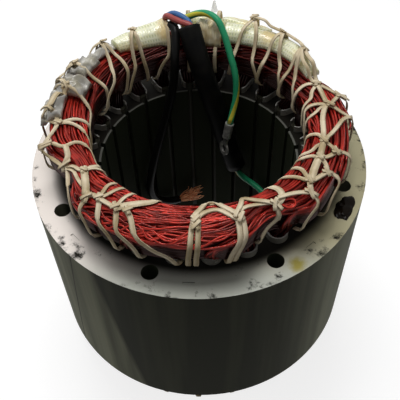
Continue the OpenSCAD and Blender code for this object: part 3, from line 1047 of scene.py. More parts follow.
@dataclass
class Winding:
    """Twelve coils of enamelled wire, each wound strand by strand along its lane of the crown."""

    crown: Crown = Crown()
    coils: int = 12
    first_slot: float = 22.5
    span: float = 165
    leg_radius: float = 68.5
    leg_half_across: float = 6.3
    leg_half_along: float = 3.6
    leg_rise: float = 4.5
    leg_steps: Pair = (3, 1.5)
    pivot: float = 1
    swing: float = 0.7
    swell: float = 0.8
    wire: float = 1.5
    rows: int = 13
    columns: int = 2
    top_rows: int = 3
    bend_steps: int = 4
    run_steps: int = 42
    strand_turns: Pair = (0.6, 2.2)
    strand_sway: Pair = (0.15, 0.55)
    strand_beat: Pair = (1, 3)
    jostle: float = 0.2
    droop: float = 0.5
    lag: float = 1.3
    headroom: float = 1.02
    # Painted shade: the lower rows get a darker tone, and only the rows above the next share keep their full
    # tone.
    deep_row_shade: float = 0.07
    lit_rows_from: float = 0.5
    tones: Pair = (0.45, 1.0)
    loose: int = 230
    loose_front: int = 80
    loose_share: float = 0.4
    loose_turn: float = 6.28
    loose_turns: Pair = (1, 2)
    loose_lift: Pair = (-0.1, 0.45)
    loose_step: float = 2
    loose_tones: Pair = (0.3, 1.0)
    dip_power: float = 0.35
    front: Slack = Slack((-130, -62), (22, 40), (0.05, 1.22), (0.03, 0.09))
    crest: Slack = Slack((-150, 210), (25, 60), (0.05, 1.0), (0.01, 0.03))
    loop_at: Pair = (-37.5, 0.84)
    loop_size: Pair = (3.4, 1.7)
    loop_lift: Pair = (1.1, 0.5)
    loop_steps: int = 24
    loop_tone: float = 0.8
    seed: int = 7

    def bend(self, start: float, at: float, share: float, end: int) -> list[Section]:
        """Sections of the bend between a slot leg and the run.

        Args:
            start: Angle of the coil's first slot.
            at: Angle of this leg from the first slot.
            share: Lane at the bend, 0 inside to 1 outside.
            end: 1 at the coil's start and -1 at its end.

        Returns:
            The sections in order.
        """
        crown, made = self.crown, []
        low, high = crown.coil_heights(share)
        for j in range(self.bend_steps + 1):
            i = (j if end > 0 else self.bend_steps - j) / self.bend_steps
            turn = math.radians(90 * i)
            tilt = end * (math.pi / 2 - turn)
            k = min(1, self.swing + i)
            radius = mix(self.leg_radius, crown.lane(start + at, share), k)
            across = mix(self.leg_half_across, crown.half_lane(start + at), k)
            tall = mix(2 * self.leg_half_along, high - low, math.sin(turn) ** self.swell)
            arm = self.pivot + tall / 2
            shift = end * (self.pivot + self.leg_half_along) - math.sin(tilt) * arm
            level = crown.level(low - self.pivot + math.cos(tilt) * arm)
            made.append(Section(start + at + math.degrees(shift / radius), radius, level, tilt,
                                across, tall / 2, i, 0.0 if end > 0 else 1.0))
        return made

    def sections(self, start: float) -> list[Section]:
        """Sections of one coil's upper half, from leg to leg.

        Args:
            start: Angle of the coil's first slot.

        Returns:
            The sections in order.
        """
        crown = self.crown
        arm = self.pivot + self.leg_half_along
        first = math.degrees(arm / crown.lane(start, 1))
        last = self.span - math.degrees(arm / crown.turn_in)
        run = []
        for i in range(1, self.run_steps):
            angle = mix(first, last, i / self.run_steps)
            share = 1 - angle / self.span
            low, high = crown.coil_heights(share)
            half = (high - low) / 2
            run.append(Section(start + angle, crown.lane(start + angle, share), crown.level(low + half), 0.0,
                               crown.half_lane(start + angle), half, 1.0, i / self.run_steps))
        ends = [Section(start + at, self.leg_radius, crown.level(self.leg_rise), side * math.pi / 2,
                        self.leg_half_across, self.leg_half_along, 0.0, share)
                for at, side, share in ((0, 1, 0.0), (self.span, -1, 1.0))]
        return [ends[0], *self.bend(start, 0, 1, 1), *run, *self.bend(start, self.span, 0, -1), ends[1]]

    def strand(self, sections: Sequence[Section], row: int, column: int, dice: random.Random) -> list[Vector]:
        """Path of one strand through the upper half of a coil.

        Args:
            sections: The coil's sections.
            row: Row of the strand in the lane, from the underside up.
            column: Column of the strand in the lane.
            dice: Seeded source of the strand's wander.

        Returns:
            Points of the strand from leg to leg.
        """
        pitch = 2 / (self.rows - 1)
        leg_x = row // 2 / self.leg_steps[0] - 1
        leg_y = (2 * (row % 2) + column) / self.leg_steps[1] - 1
        phase, turns = dice.uniform(0, 2 * math.pi), dice.uniform(*self.strand_turns)
        sway, beat = dice.uniform(*self.strand_sway), dice.uniform(*self.strand_beat)
        droop = self.droop if row >= self.rows - self.top_rows else 0.0
        path = []
        for s in sections:
            calm = math.sin(math.pi * s.share) ** 0.5 if 0 < s.share < 1 else 0.0
            wind = 2 * math.pi * turns * s.share + phase
            lane_x = 2 * column - 1 + self.jostle * calm * math.sin(beat * wind)
            lane_y = pitch * row - 1 + calm * sway * pitch * (math.sin(wind + self.lag) - droop)
            k = ease(s.spread)
            x = mix(leg_x, lane_x, k) * (s.half_across - self.wire / 2)
            y = mix(leg_y, min(lane_y, self.headroom), k) * (s.half_along - self.wire / 2)
            angle = s.angle - math.degrees(y * math.sin(s.tilt) / s.radius)
            path.append(polar(angle, s.radius + x, s.level + y * math.cos(s.tilt)))
        return path

    def loop(self) -> list[Vector]:
        """Path of the small slack loop of one wire on the crown's right shoulder.

        Returns:
            Points of the loop.
        """
        angle, way = self.loop_at
        along, across = self.loop_size
        path = []
        for i in range(self.loop_steps):
            turn = 2 * math.pi * i / self.loop_steps
            sweep = math.degrees(along * math.cos(turn) / self.crown.lane(angle, way))
            side = across * math.sin(turn) / self.crown.depth
            lift = self.loop_lift[0] + self.loop_lift[1] * math.sin(turn)
            path.append(self.crown.spot(angle + sweep, way + side, lift, over=False))
        return path

    def loose_wires(self) -> None:
        """Lays wires that ride over the lanes on the crest, wavier at the picture's front."""
        dice, skein = random.Random(self.seed), Skein()
        size = self.loose_share * self.wire
        for i in range(self.loose):
            slack = self.front if i < self.loose_front else self.crest
            start, arc, way, sway = (dice.uniform(*ends) for ends in slack)
            ranges = ((0, self.loose_turn), self.loose_turns, self.loose_lift)
            phase, turns, lift = (dice.uniform(*ends) for ends in ranges)
            steps = round(arc / self.loose_step)
            path = []
            for j in range(steps + 1):
                k = j / steps
                dip = self.wire * (1 - math.sin(math.pi * k) ** self.dip_power)
                here = way - k * arc / self.span + sway * math.sin(phase + self.loose_turn * turns * k)
                path.append(self.crown.spot(start + k * arc, max(0.0, here), lift - dip, over=False))
            skein.tube(path, size, 5, dice.uniform(*self.loose_tones))
        skein.tube(self.loop(), size, 6, self.loop_tone, closed=True)
        put(skein.mesh("loose_wires", EnamelledCopper()), "enamelled_copper")

    def build(self) -> None:
        """Winds every coil and lets it stand for its solid."""
        for i in range(self.coils):
            dice, skein, number = random.Random(self.seed + i), Skein(), f"{i + 1:02d}"
            sections = self.sections(self.first_slot + i * 360 / self.coils)
            for row in range(self.rows):
                # Painted shade on the lower rows: their tone falls off below the top rows.
                bright = max(0.0, row / (self.rows - 1) - self.lit_rows_from) / (1 - self.lit_rows_from)
                for column in range(self.columns):
                    upper = self.strand(sections, row, column, dice)
                    lower = [Vector((p.x, p.y, CORE_LOW + CORE_HIGH - p.z)) for p in reversed(upper)]
                    tone = mix(self.deep_row_shade, 1.0, bright) * dice.uniform(*self.tones)
                    skein.tube([*upper, *lower], self.wire / 2, 5, tone, closed=True)
            put(skein.mesh(f"coil_wires_{number}", EnamelledCopper()), "enamelled_copper", f"coil_{number}")
        self.loose_wires()


class Level(Enum):
    """How far a tape lies off the wires: a band, a strap over bands, or a knot over both."""

    BAND = 1.3
    STRAP = 1.9
    KNOT = 2.5


class Tape(NamedTuple):
    """One length of lacing tape by the angle and way of each stop."""

    level: Level
    width: float
    stops: tuple[Pair, ...]


B, S = Level.BAND, Level.STRAP


@dataclass
class Lacing:
    """Cream tape laced round both crowns, knotted on the crest and strapped from knot to knot."""

    crown: Crown = Crown()
    thick: float = 0.7
    step: float = 1.6
    route_steps: int = 12
    smoothings: int = 2
    slim: float = 0.86
    lower_bands: int = 24
    lower_lean: float = 3
    lower_thick: float = 1.2
    lower_lift: float = 1.85
    lower_width: float = 3.4
    knot_reach: float = 1.9
    knot_width: float = 2.1
    knot_lift: float = 0.55
    knot_tilt: Pair = (0.6, 1.1)
    seed: int = 3
    tapes: tuple[Tape, ...] = (
        Tape(S, 2.6, ((-149, 1.0), (-143, 0.98), (-137, 0.98))),
        Tape(S, 3.6, ((-144, 0.6), (-139, 0.78), (-137, 0.96))),
        Tape(B, 2.8, ((-137, 0.98), (-130, 0.7), (-127, 0.48), (-129, 0.1), (-132, -0.3), (-134, -1.3))),
        Tape(B, 2.6, ((-127, 0.48), (-127, 0.05), (-125, -0.3), (-124, -1.3))),
        Tape(B, 2.4, ((-136, 0.98), (-127, 0.78), (-121, 0.7))),
        Tape(B, 2.8, ((-137, 0.92), (-131, 1.03), (-125, 1.2), (-122, 2.3))),
        Tape(S, 4.6, ((-127, 0.48), (-121, 0.6), (-117, 0.8))),
        Tape(B, 3.2, ((-116, 0.8), (-116, 1.02), (-114, 1.3), (-111, 2.3))),
        Tape(S, 3.2, ((-116, 0.8), (-115, 0.68), (-112, 0.68))),
        Tape(B, 2.6, ((-112, 0.68), (-113, 0.4), (-115, 0.05), (-117, -1.3))),
        Tape(B, 2.6, ((-112, 0.68), (-110, 0.35), (-110, 0.03), (-109, -1.3))),
        Tape(B, 3.4, ((-112, 0.6), (-109, 0.9), (-105, 1.1), (-102, 1.62), (-101, 2.3))),
        Tape(S, 3.0, ((-112, 0.68), (-107, 0.68), (-104, 0.68))),
        Tape(B, 2.6, ((-104, 0.68), (-104, 0.38), (-104, 0.05), (-104, -1.3))),
        Tape(B, 3.4, ((-104, 0.62), (-101, 0.93), (-98, 1.1), (-94, 1.53), (-92, 2.3))),
        Tape(S, 4.8, ((-104, 0.7), (-99, 0.43), (-94, 0.18), (-91.5, -0.1), (-91, -1.3))),
        Tape(B, 3.4, ((-102, 0.56), (-98, 0.68), (-95, 0.9), (-91, 1.05), (-87, 1.4), (-82, 1.65),
                      (-79, 2.3))),
        Tape(S, 3.4, ((-74, 0.75), (-74, 0.45), (-72, 0.25), (-69, 0.02), (-64, 0.02), (-60, 0.35),
                      (-58, 0.53))),
        Tape(B, 3.2, ((-73, 0.62), (-72, 0.4), (-67, 0.23), (-64, 0.25), (-60, 0.53), (-58, 0.7))),
        Tape(B, 3.2, ((-74.2, 0.6), (-75, 0.9), (-76, 1.7), (-76, 2.3))),
        Tape(B, 3.2, ((-72.4, 0.6), (-72.6, 0.9), (-73.4, 1.68), (-73.4, 2.3))),
        Tape(B, 2.8, ((-66, 0.05), (-66, -0.4), (-66, -1.3))),
        Tape(S, 3.2, ((-58, 0.53), (-55, 0.33), (-52, 0.05), (-50, 0.3), (-47, 0.58), (-42, 0.86))),
        Tape(B, 2.8, ((-57, 0.5), (-53, 0.45), (-49, 0.62), (-44, 0.78))),
        Tape(B, 2.8, ((-52, 0.05), (-52, -0.4), (-53, -1.3))),
        Tape(B, 3.2, ((-58.2, 0.45), (-58.2, 0.8), (-59.2, 1.05), (-62, 1.62), (-63, 2.3))),
        Tape(B, 3.2, ((-56.4, 0.5), (-56.3, 0.85), (-57.2, 1.05), (-60, 1.7), (-61, 2.3))),
        Tape(B, 3.2, ((-42, 0.8), (-42, 1.05), (-43, 1.27), (-48, 1.6), (-50, 2.3))),
        Tape(B, 4.2, ((-41, 0.85), (-38, 0.68), (-37, 0.43), (-37, 0.1), (-39, -0.2), (-40, -1.3))),
        Tape(S, 3.0, ((-40, 0.7), (-34, 0.68), (-29, 0.83))),
        Tape(B, 3.0, ((-28, 0.78), (-28, 0.98), (-30, 1.08), (-33, 1.6), (-34, 2.3))),
        Tape(S, 3.4, ((-28.5, 0.88), (-27, 0.74), (-25, 0.6))),
        Tape(B, 3.0, ((-25, 0.62), (-26, 0.4), (-27, 0.15), (-29, -0.1), (-30, -1.3))),
        Tape(B, 2.8, ((-25, 0.6), (-22, 0.3), (-20, 0.02), (-19, -1.3))),
        Tape(S, 3.0, ((-26, 0.65), (-21, 0.73), (-17, 0.8))),
        Tape(S, 4.6, ((-25, 0.66), (-19, 0.5), (-12, 0.43))),
        Tape(B, 3.0, ((-17, 0.8), (-14, 0.68), (-12, 0.45))),
        Tape(B, 3.2, ((-18, 0.72), (-15, 0.95), (-16, 1.05), (-20, 1.3), (-22, 1.7), (-23, 2.3))),
        Tape(B, 3.0, ((-12, 0.43), (-12, 0.15), (-15, -0.1), (-16, -1.3))),
        Tape(B, 3.0, ((-12, 0.43), (-10, 0.62), (-6, 0.75), (-3, 0.98), (-4, 1.3), (-6, 2.3))),
        Tape(S, 4.0, ((-12, 0.43), (-7, 0.38), (-2, 0.35))),
        Tape(B, 2.6, ((-4, 0.35), (-5, 0.2), (-10, 0.03), (-11, -1.3))),
        Tape(B, 2.8, ((-1, 0.33), (4, 0.06), (2, -0.3), (1, -1.3))),
        Tape(S, 3.4, ((-2, 0.35), (5, 0.28), (13, 0.25), (20, 0.38))),
        Tape(S, 2.8, ((-2, 0.35), (4, 0.55), (11, 0.75), (16, 0.95))),
        Tape(B, 2.8, ((-2, 0.35), (-4, 0.6), (-6, 0.75))),
        Tape(B, 3.0, ((19, -1.3), (20, -0.4), (24, 0.03), (23, 0.18), (20, 0.55), (17, 0.75),
                      (16, 1.05), (15, 2.3))),
        Tape(B, 2.6, ((14, -1.3), (17, 0.02), (20, 0.2), (20, 0.5))),
        Tape(S, 2.8, ((20, 0.5), (22, 0.6), (26, 0.83))),
        Tape(B, 3.0, ((41, -1.3), (40, -0.6), (38, 0.0), (38, 0.15), (35, 0.48), (31, 0.65),
                      (27, 0.9), (26, 1.1),
                      (26, 2.3))),
        Tape(B, 2.6, ((24, -1.3), (27, 0.02), (31, 0.14), (34, 0.4))),
        Tape(S, 3.2, ((34, 0.45), (28, 0.4), (22, 0.42))),
        Tape(S, 3.0, ((35, 0.5), (43, 0.72), (52, 0.85))),
        Tape(S, 2.6, ((36, 0.43), (44, 0.42), (52, 0.7))),
        Tape(B, 2.8, ((55, -1.3), (53, -0.38), (51, 0.2), (52, 0.7), (52, 1.05), (52, 2.3))),
        Tape(B, 2.6, ((39, -1.3), (42, -0.1), (47, 0.2), (51, 0.65))),
        Tape(B, 2.8, ((71, -1.3), (70, -0.7), (68, -0.1), (67, 0.2), (66, 0.7), (66, 1.05), (66, 2.3))),
        Tape(B, 2.6, ((53, -1.3), (55, -0.05), (61, 0.2), (65, 0.65))),
        Tape(B, 2.8, ((89, -1.3), (86, -0.1), (83, 0.4), (81, 0.8), (81, 1.05), (81, 2.3))),
        Tape(B, 2.6, ((68, -1.3), (70, -0.8), (75, 0.1), (80, 0.7))),
        Tape(S, 3.0, ((52, 0.8), (59, 0.84), (66, 0.78), (73, 0.77), (81, 0.76))),
        Tape(B, 2.8, ((97, -1.3), (97, 0.02), (97, 0.5), (97, 1.05), (96, 2.3))),
        Tape(B, 2.8, ((112, -1.3), (112, 0.02), (111, 0.5), (111, 1.05), (111, 2.3))),
        Tape(B, 2.6, ((133, -1.3), (128, -0.4), (123, 0.02), (122, 0.5), (123, 1.05), (125, 2.3))),
        Tape(B, 2.6, ((137, -1.3), (138, -0.4), (139, 0.02), (139, 0.6), (138, 1.05), (138, 2.3))),
        Tape(S, 2.6, ((153, -1.3), (150, -0.7), (145, 0.0), (141, 0.4), (139, 0.8))),
        Tape(B, 2.6, ((155, -1.3), (151, -0.2), (150, 0.18), (152, 0.8), (152, 1.05), (152, 2.3))),
        Tape(S, 2.6, ((173, -1.3), (171, -0.6), (163, -0.1), (156, 0.25), (153, 0.83))),
        Tape(B, 2.8, ((170, -1.3), (169, -0.12), (169, 0.1), (170, 0.5), (169, 0.85), (168, 1.05),
                      (168, 2.3))),
        Tape(S, 2.8, ((152, 0.85), (158, 0.95), (164, 0.98), (169, 0.85), (173, 0.98), (178, 0.95),
                      (184, 0.6))),
        Tape(B, 2.8, ((204, -1.3), (200, -0.3), (187, 0.05), (185, 0.3), (184, 0.58), (182, 1.05),
                      (182, 2.3))),
        Tape(S, 4.4, ((185, 0.6), (191, 0.75), (197, 0.85))),
        Tape(B, 2.8, ((201, -1.3), (199, -0.2), (198, 0.1), (202, 0.62), (198, 1.05), (197, 2.3))),
        Tape(B, 2.8, ((217, -1.3), (210, -0.1), (203, 0.12), (202, 0.62))),
        Tape(S, 2.8, ((197, 0.85), (202, 0.62), (209, 0.94))),
        Tape(B, 2.8, ((230, -1.3), (226, -0.3), (217, 0.03), (214, 0.15), (216, 0.68), (210, 0.98),
                      (210, 2.3))),
    )
    knots: tuple[Pair, ...] = (
        (-149, 0.98), (-137, 0.96), (-127, 0.48), (-116, 0.8), (-112, 0.66), (-104, 0.67), (-99, 0.62),
        (-73.3, 0.55), (-73.3, 0.72), (-58, 0.56), (-56.8, 0.7), (-42, 0.84), (-28.5, 0.82), (-25, 0.62),
        (-17, 0.79), (-12, 0.44), (-6, 0.76), (-2, 0.36), (20.5, 0.5), (26.5, 0.86), (35, 0.46),
        (52, 0.82), (66, 0.8), (81, 0.78), (139, 0.7), (152, 0.85), (169, 0.86), (178, 0.95), (184, 0.6),
        (197, 0.85), (202, 0.62), (210, 0.96),
    )

    def lay(self, skein: Skein, stops: Sequence[Pair], lift: float, width: float, thick: float, tone: float,
            upper: bool = True) -> None:
        """Lays one tape over the crown through its stops.

        Args:
            skein: Takes the tape's mesh.
            stops: Angle and way of each stop, three at least.
            lift: Distance of the tape's middle from the wires.
            width: Width of the tape.
            thick: Thickness of the tape.
            tone: Shade of the tape.
            upper: On the upper crown rather than the lower.
        """
        route = smooth_route([Vector((angle, way, 0)) for angle, way in stops], self.route_steps)
        path = [self.crown.spot(p.x, p.y, lift, upper) for p in route]
        even = [path[0]]
        for p in path[1:]:
            if (p - even[-1]).length >= self.step:
                even.append(p)
        if (even[-1] - path[-1]).length < self.step / 2:
            even.pop()
        even.append(path[-1])
        for _ in range(self.smoothings):
            even = [even[0], *((a + 2 * b + c) / 4 for a, b, c in zip(even, even[1:], even[2:])), even[-1]]
        skein.ribbon(even, [self.crown.outward(p, upper) for p in even], width, thick, tone)

    def knot(self, skein: Skein, at: Pair, dice: random.Random) -> None:
        """Ties a small crossed knot of tape on the crest.

        Args:
            skein: Takes the knot's mesh.
            at: Angle and way of the knot.
            dice: Seeded source of its tilt.
        """
        angle, way = at
        reach = math.degrees(self.knot_reach / self.crown.lane(angle, way))
        for lift, lean in ((0.0, 1), (self.knot_lift, -1)):
            turn = reach * dice.uniform(*self.knot_tilt)
            side = lean * self.knot_reach / self.crown.depth
            stops = ((angle - turn, way - side), at, (angle + turn, way + side))
            self.lay(skein, stops, Level.KNOT.value + lift, self.knot_width, self.thick, dice.random())

    def build(self) -> None:
        """Laces the upper crown as in the picture and the lower one in the same regular way."""
        dice = random.Random(self.seed)
        bands, straps, lower = Skein(), Skein(), Skein()
        for tape in self.tapes:
            skein = bands if tape.level is Level.BAND else straps
            self.lay(skein, tape.stops, tape.level.value, self.slim * tape.width, self.thick, dice.random())
        for at in self.knots:
            self.knot(straps, at, dice)
        put(bands.mesh("lacing_bands", LacingTape()), "lacing_tape", "upper_lacing")
        put(straps.mesh("lacing_straps", LacingTape()), "lacing_tape", "lacing_run")
        for i in range(self.lower_bands):
            angle = 360 / self.lower_bands * i
            lean = dice.uniform(-self.lower_lean, self.lower_lean)
            stops = ((angle + lean, -1.9), (angle + lean, -1), (angle, 0.0), (angle, 0.5), (angle, 1.0),
                     (angle - lean, 2), (angle - lean, 2.9))
            self.lay(lower, stops, self.lower_lift, self.lower_width, self.lower_thick, dice.random(), False)
        put(lower.mesh("lower_lacing_bands", LacingTape()), "lacing_tape", "lower_lacing")


class Station(NamedTuple):
    """Edges and top of a flattened sleeve at an angle."""

    angle: float
    inner: float
    outer: float
    top: float


@dataclass
class GlassSleeve:
    """Braided sleeve over a joint, pressed flat on the crest, a little lumpy and pinched where it is tied."""

    node: str
    stations: tuple[Station, ...]
    ties: tuple[float, ...] = ()
    crown: Crown = Crown()
    clear: float = 1.3
    square: float = 0.65
    lean: float = 0.35
    girth: float = 30
    tie_reach: float = 1.1
    tie_pinch: float = 0.16
    lump: float = 0.08
    lumps_round: float = 2
    lump_arc: float = 4
    sides: int = 36
    step: float = 0.75
    seed: float = 0.0

    def at(self, angle: float) -> Station:
        """Edges and top at an angle, eased from one station to the next.

        Args:
            angle: Angle round the axis.

        Returns:
            The edges and the top.
        """
        for one, two in zip(self.stations, self.stations[1:]):
            if angle <= two.angle:
                k = ease((angle - one.angle) / (two.angle - one.angle))
                return Station(angle, *(mix(a, b, k) for a, b in zip(one[1:], two[1:])))
        return self.stations[-1]

    def ring(self, angle: float) -> list[Vector]:
        """Section of the sleeve at an angle: a round top over a seat that follows the wires.

        Args:
            angle: Angle round the axis.

        Returns:
            Points round the section.
        """
        s, crown = self.at(angle), self.crown
        middle, half = (s.inner + s.outer) / 2, (s.outer - s.inner) / 2
        pinch = min(1.0, sum(math.exp(-((angle - t) / self.tie_reach) ** 2) for t in self.ties))
        ring = []
        for j in range(self.sides):
            w = 2 * math.pi * j / self.sides
            x, y = math.cos(w), math.sin(w)
            lump = (self.lumps_round * x, self.lumps_round * y + self.seed, angle / self.lump_arc)
            radius = middle + half * math.copysign(abs(x) ** self.square, x)
            rise = max(0.0, y) ** self.square * (s.top - crown.seat(middle, self.clear))
            rise *= (1 + self.lean * x) / (1 + self.lean)
            rise *= 1 + self.lump * noise.noise(lump) - self.tie_pinch * pinch
            ring.append(polar(angle, radius, crown.seat(radius, self.clear) + rise))
        return list(reversed(ring))

    def build(self) -> None:
        """Sweeps the sleeve along its arc."""
        start, end = self.stations[0].angle, self.stations[-1].angle
        count = round((end - start) / self.step)
        skein = Skein()
        skein.loft([self.ring(mix(start, end, i / count)) for i in range(count + 1)], self.girth)
        put(skein.mesh(f"{self.node}_braid", GlassBraid()), "glass_sleeve", self.node)


@dataclass
class FilmWrap:
    """Film folded by hand over a joint: a lumpy pad that follows the lacing under it."""

    node: str
    start: float
    end: float
    inner: float
    outer: float
    crown: Crown = Crown()
    base_lift: float = 2.7
    thick: float = 5.0
    cells: int = 36
    fold_mm: float = 7.5
    fold_low: float = 0.35
    fold_rise: float = 0.6
    fold_top: float = 1.15
    fine_size: float = 0.4
    fine_rise: float = 0.3
    flat_ends: int = 6
    flat: float = 6
    pleats: float = 0
    pleat_rise: float = 0.35
    pleat_sway: float = 0.1
    weld_mm: float = 0.05
    finish: Finish = CLEAR_FILM
    seed: float = 0.0

    def crumple(self, spot: Vector, along: float, across: float) -> float:
        """Height of the film over its base.

        Args:
            spot: Point on the base.
            along: Share of the arc at the point.
            across: Share of the width at the point.

        Returns:
            The height in millimetres.
        """
        a, b = 2 * along - 1, 2 * across - 1
        dome = (1 - a ** self.flat_ends) ** 0.5 * (1 - abs(b) ** self.flat) ** 0.5
        fold = 1 - 2 * abs(noise.noise(spot / self.fold_mm + Vector((self.seed, 0, 0))))
        fine = spot / (self.fine_size * self.fold_mm)
        fold += self.fine_rise * noise.noise(fine + Vector((0, self.seed, 0)))
        pleat = self.pleat_rise * abs(math.sin(math.pi * self.pleats * (along + self.pleat_sway * fold)))
        return self.thick * dome * min(self.fold_top, self.fold_low + self.fold_rise * fold + pleat)

    def build(self) -> None:
        """Shapes the pad from two sheets that meet at the rim."""
        n, points, faces = self.cells, [], []
        for top in (True, False):
            for i in range(n + 1):
                for j in range(n + 1):
                    radius = mix(self.inner, self.outer, j / n)
                    level = self.crown.seat(radius, self.base_lift)
                    spot = polar(mix(self.start, self.end, i / n), radius, level)
                    if top:
                        spot.z += self.crumple(spot, i / n, j / n)
                    points.append(spot)
        side, layer = n + 1, (n + 1) ** 2
        for i in range(n):
            for j in range(n):
                a = i * side + j
                faces.append((a, a + 1, a + side + 1, a + side))
                faces.append((layer + a, layer + a + side, layer + a + side + 1, layer + a + 1))
        piece = new_mesh(f"{self.node}_film", points, faces, self.finish)
        bpy.ops.object.select_all(action="DESELECT")
        piece.select_set(True)
        bpy.context.view_layer.objects.active = piece
        bpy.ops.object.mode_set(mode="EDIT")
        bpy.ops.mesh.select_all(action="SELECT")
        bpy.ops.mesh.remove_doubles(threshold=self.weld_mm * MM)
        bpy.ops.mesh.normals_make_consistent(inside=False)
        bpy.ops.object.mode_set(mode="OBJECT")
        bpy.ops.object.shade_smooth()
        put(piece, "joint_wrap", self.node)


@dataclass
class Joints:
    """The glass sleeves and film wraps over the joints on the crest, and the cream bundle."""

    pieces: tuple[GlassSleeve | FilmWrap, ...] = (
        GlassSleeve("glass_sleeve_left", (Station(122, 63.2, 79, 196.2), Station(127, 64.2, 78, 194),
                                          Station(138, 65.4, 78, 193), Station(148, 69, 78, 191.4)),
                    (139,), seed=1),
        GlassSleeve("glass_sleeve_right", (Station(40.5, 67, 75, 188.5), Station(50, 67.5, 76.5, 191),
                                           Station(62, 67.5, 80, 191), Station(70, 67, 79, 191.5),
                                           Station(77, 65.3, 75, 192), Station(93, 64.5, 75, 192)),
                    (51, 66, 82), seed=5),
        GlassSleeve("glass_sleeve_back", (Station(74.5, 75.4, 84.6, 189.5), Station(90, 75.4, 84.6, 191.5),
                                          Station(114.5, 75.4, 84.6, 192)),
                    (81, 97, 111), seed=9),
        FilmWrap("joint_wrap_1", 148.5, 160, 72, 83, seed=2),
        FilmWrap("joint_wrap_2", 160.5, 173, 69, 84.5, thick=6, seed=4),
        FilmWrap("joint_wrap_3", 174, 186, 64, 84.5, thick=6, seed=6),
        FilmWrap("joint_wrap_4", 187, 200, 72, 84.5, thick=6, seed=8),
        FilmWrap("joint_bundle", 94, 108, 61.6, 75, thick=8, flat=2, pleats=4, finish=TAN_FILM, seed=11),
    )

    def build(self) -> None:
        """Makes every piece in order."""
        for piece in self.pieces:
            piece.build()


@dataclass
class Lead:
    """A flexible lead on its route from where it leaves its sleeve to its far end."""

    node: str
    route: Sequence[Vector]
    diameter: float
    finish: Finish
    slot: str
    far_end: str
    stiffness: str
    steps: int = 3
    sides: int = 14
    companions: tuple[str | Piece, ...] = ()

    def skin(self, skein: Skein, path: Sequence[Vector]) -> None:
        """Sweeps the lead's round insulation."""
        skein.tube(path, self.diameter / 2, self.sides)

    def build(self) -> None:
        path, skein = smooth_route(self.route, self.steps), Skein()
        self.skin(skein, path)
        piece = put(skein.mesh(f"{self.node}_cord", self.finish), self.slot, self.node)
        length = sum((b - a).length for a, b in zip(path, path[1:]))
        [p * MM for p in path]
        list(self.companions)


@dataclass
class OpenSleeve(Lead):
    """A hollow sleeve whose upper end shows its wall and the dark inside."""

    wall: float = 1.1
    lip: float = 0.4
    depth: int = 7

    def skin(self, skein: Skein, path: Sequence[Vector]) -> None:
        """Sweeps the outside and turns it in at the mouth.

        Args:
            skein: Takes the sleeve's mesh.
            path: Points of the route.
        """
        frames, outer = carried_frames(path), self.diameter / 2
        rings = [circle(*f, outer - self.wall, self.sides) for f in reversed(frames[:self.depth + 1])]
        rings.append(circle(*frames[0], outer - self.wall * self.lip, self.sides))
        rings += [circle(*f, outer, self.sides) for f in frames]
        skein.loft(rings, math.pi * self.diameter)


@dataclass
class CopperStrands:
    """Bare strands fanned out of the cut end of the black lead."""

    start: Vector
    run: Point
    count: int = 48
    steps: int = 16
    wire: float = 0.55
    mouth: float = 1.9
    flare: float = 5.6
    flare_power: float = 1.5
    tangle: float = 1.9
    lean: float = 0.6
    rise: float = 1.2
    hook: float = 22
    hook_from: float = 0.55
    hook_back: float = 0.9
    lengths: Pair = (0.6, 1.0)
    waves: Pair = (1, 2.5)
    seed: int = 21

    def build(self) -> Piece:
        """Sweeps every strand with a bend of its own.

        Returns:
            The fan.
        """
        dice, skein, along = random.Random(self.seed), Skein(), Vector(self.run)
        side = along.cross(Vector((0, 0, 1))).normalized()
        up = side.cross(along).normalized()
        for _ in range(self.count):
            turn, reach = dice.uniform(0, 2 * math.pi), dice.random() ** 0.5
            spread = math.cos(turn) * side + math.sin(turn) * up
            length, kink = dice.uniform(*self.lengths), dice.uniform(-1, 1)
            waves, curl = dice.uniform(*self.waves), dice.random() ** 2
            path = []
            for j in range(self.steps + 1):
                k = j / self.steps
                bow = math.sin(math.pi * waves * k) * kink * self.tangle
                width = mix(self.mouth, self.flare, k ** self.flare_power) * reach
                hook = curl * max(0.0, k - self.hook_from) ** 2
                spot = self.start + (k * length - self.hook_back * hook) * along + width * spread
                path.append(spot + bow * (side + self.lean * kink * up)
                            + (self.rise * k * k + self.hook * hook) * up)
            skein.tube(path, self.wire / 2, 5, dice.random())
        return put(skein.mesh("copper_strand_fan", COPPER), "bare_copper", "black_lead_strands")


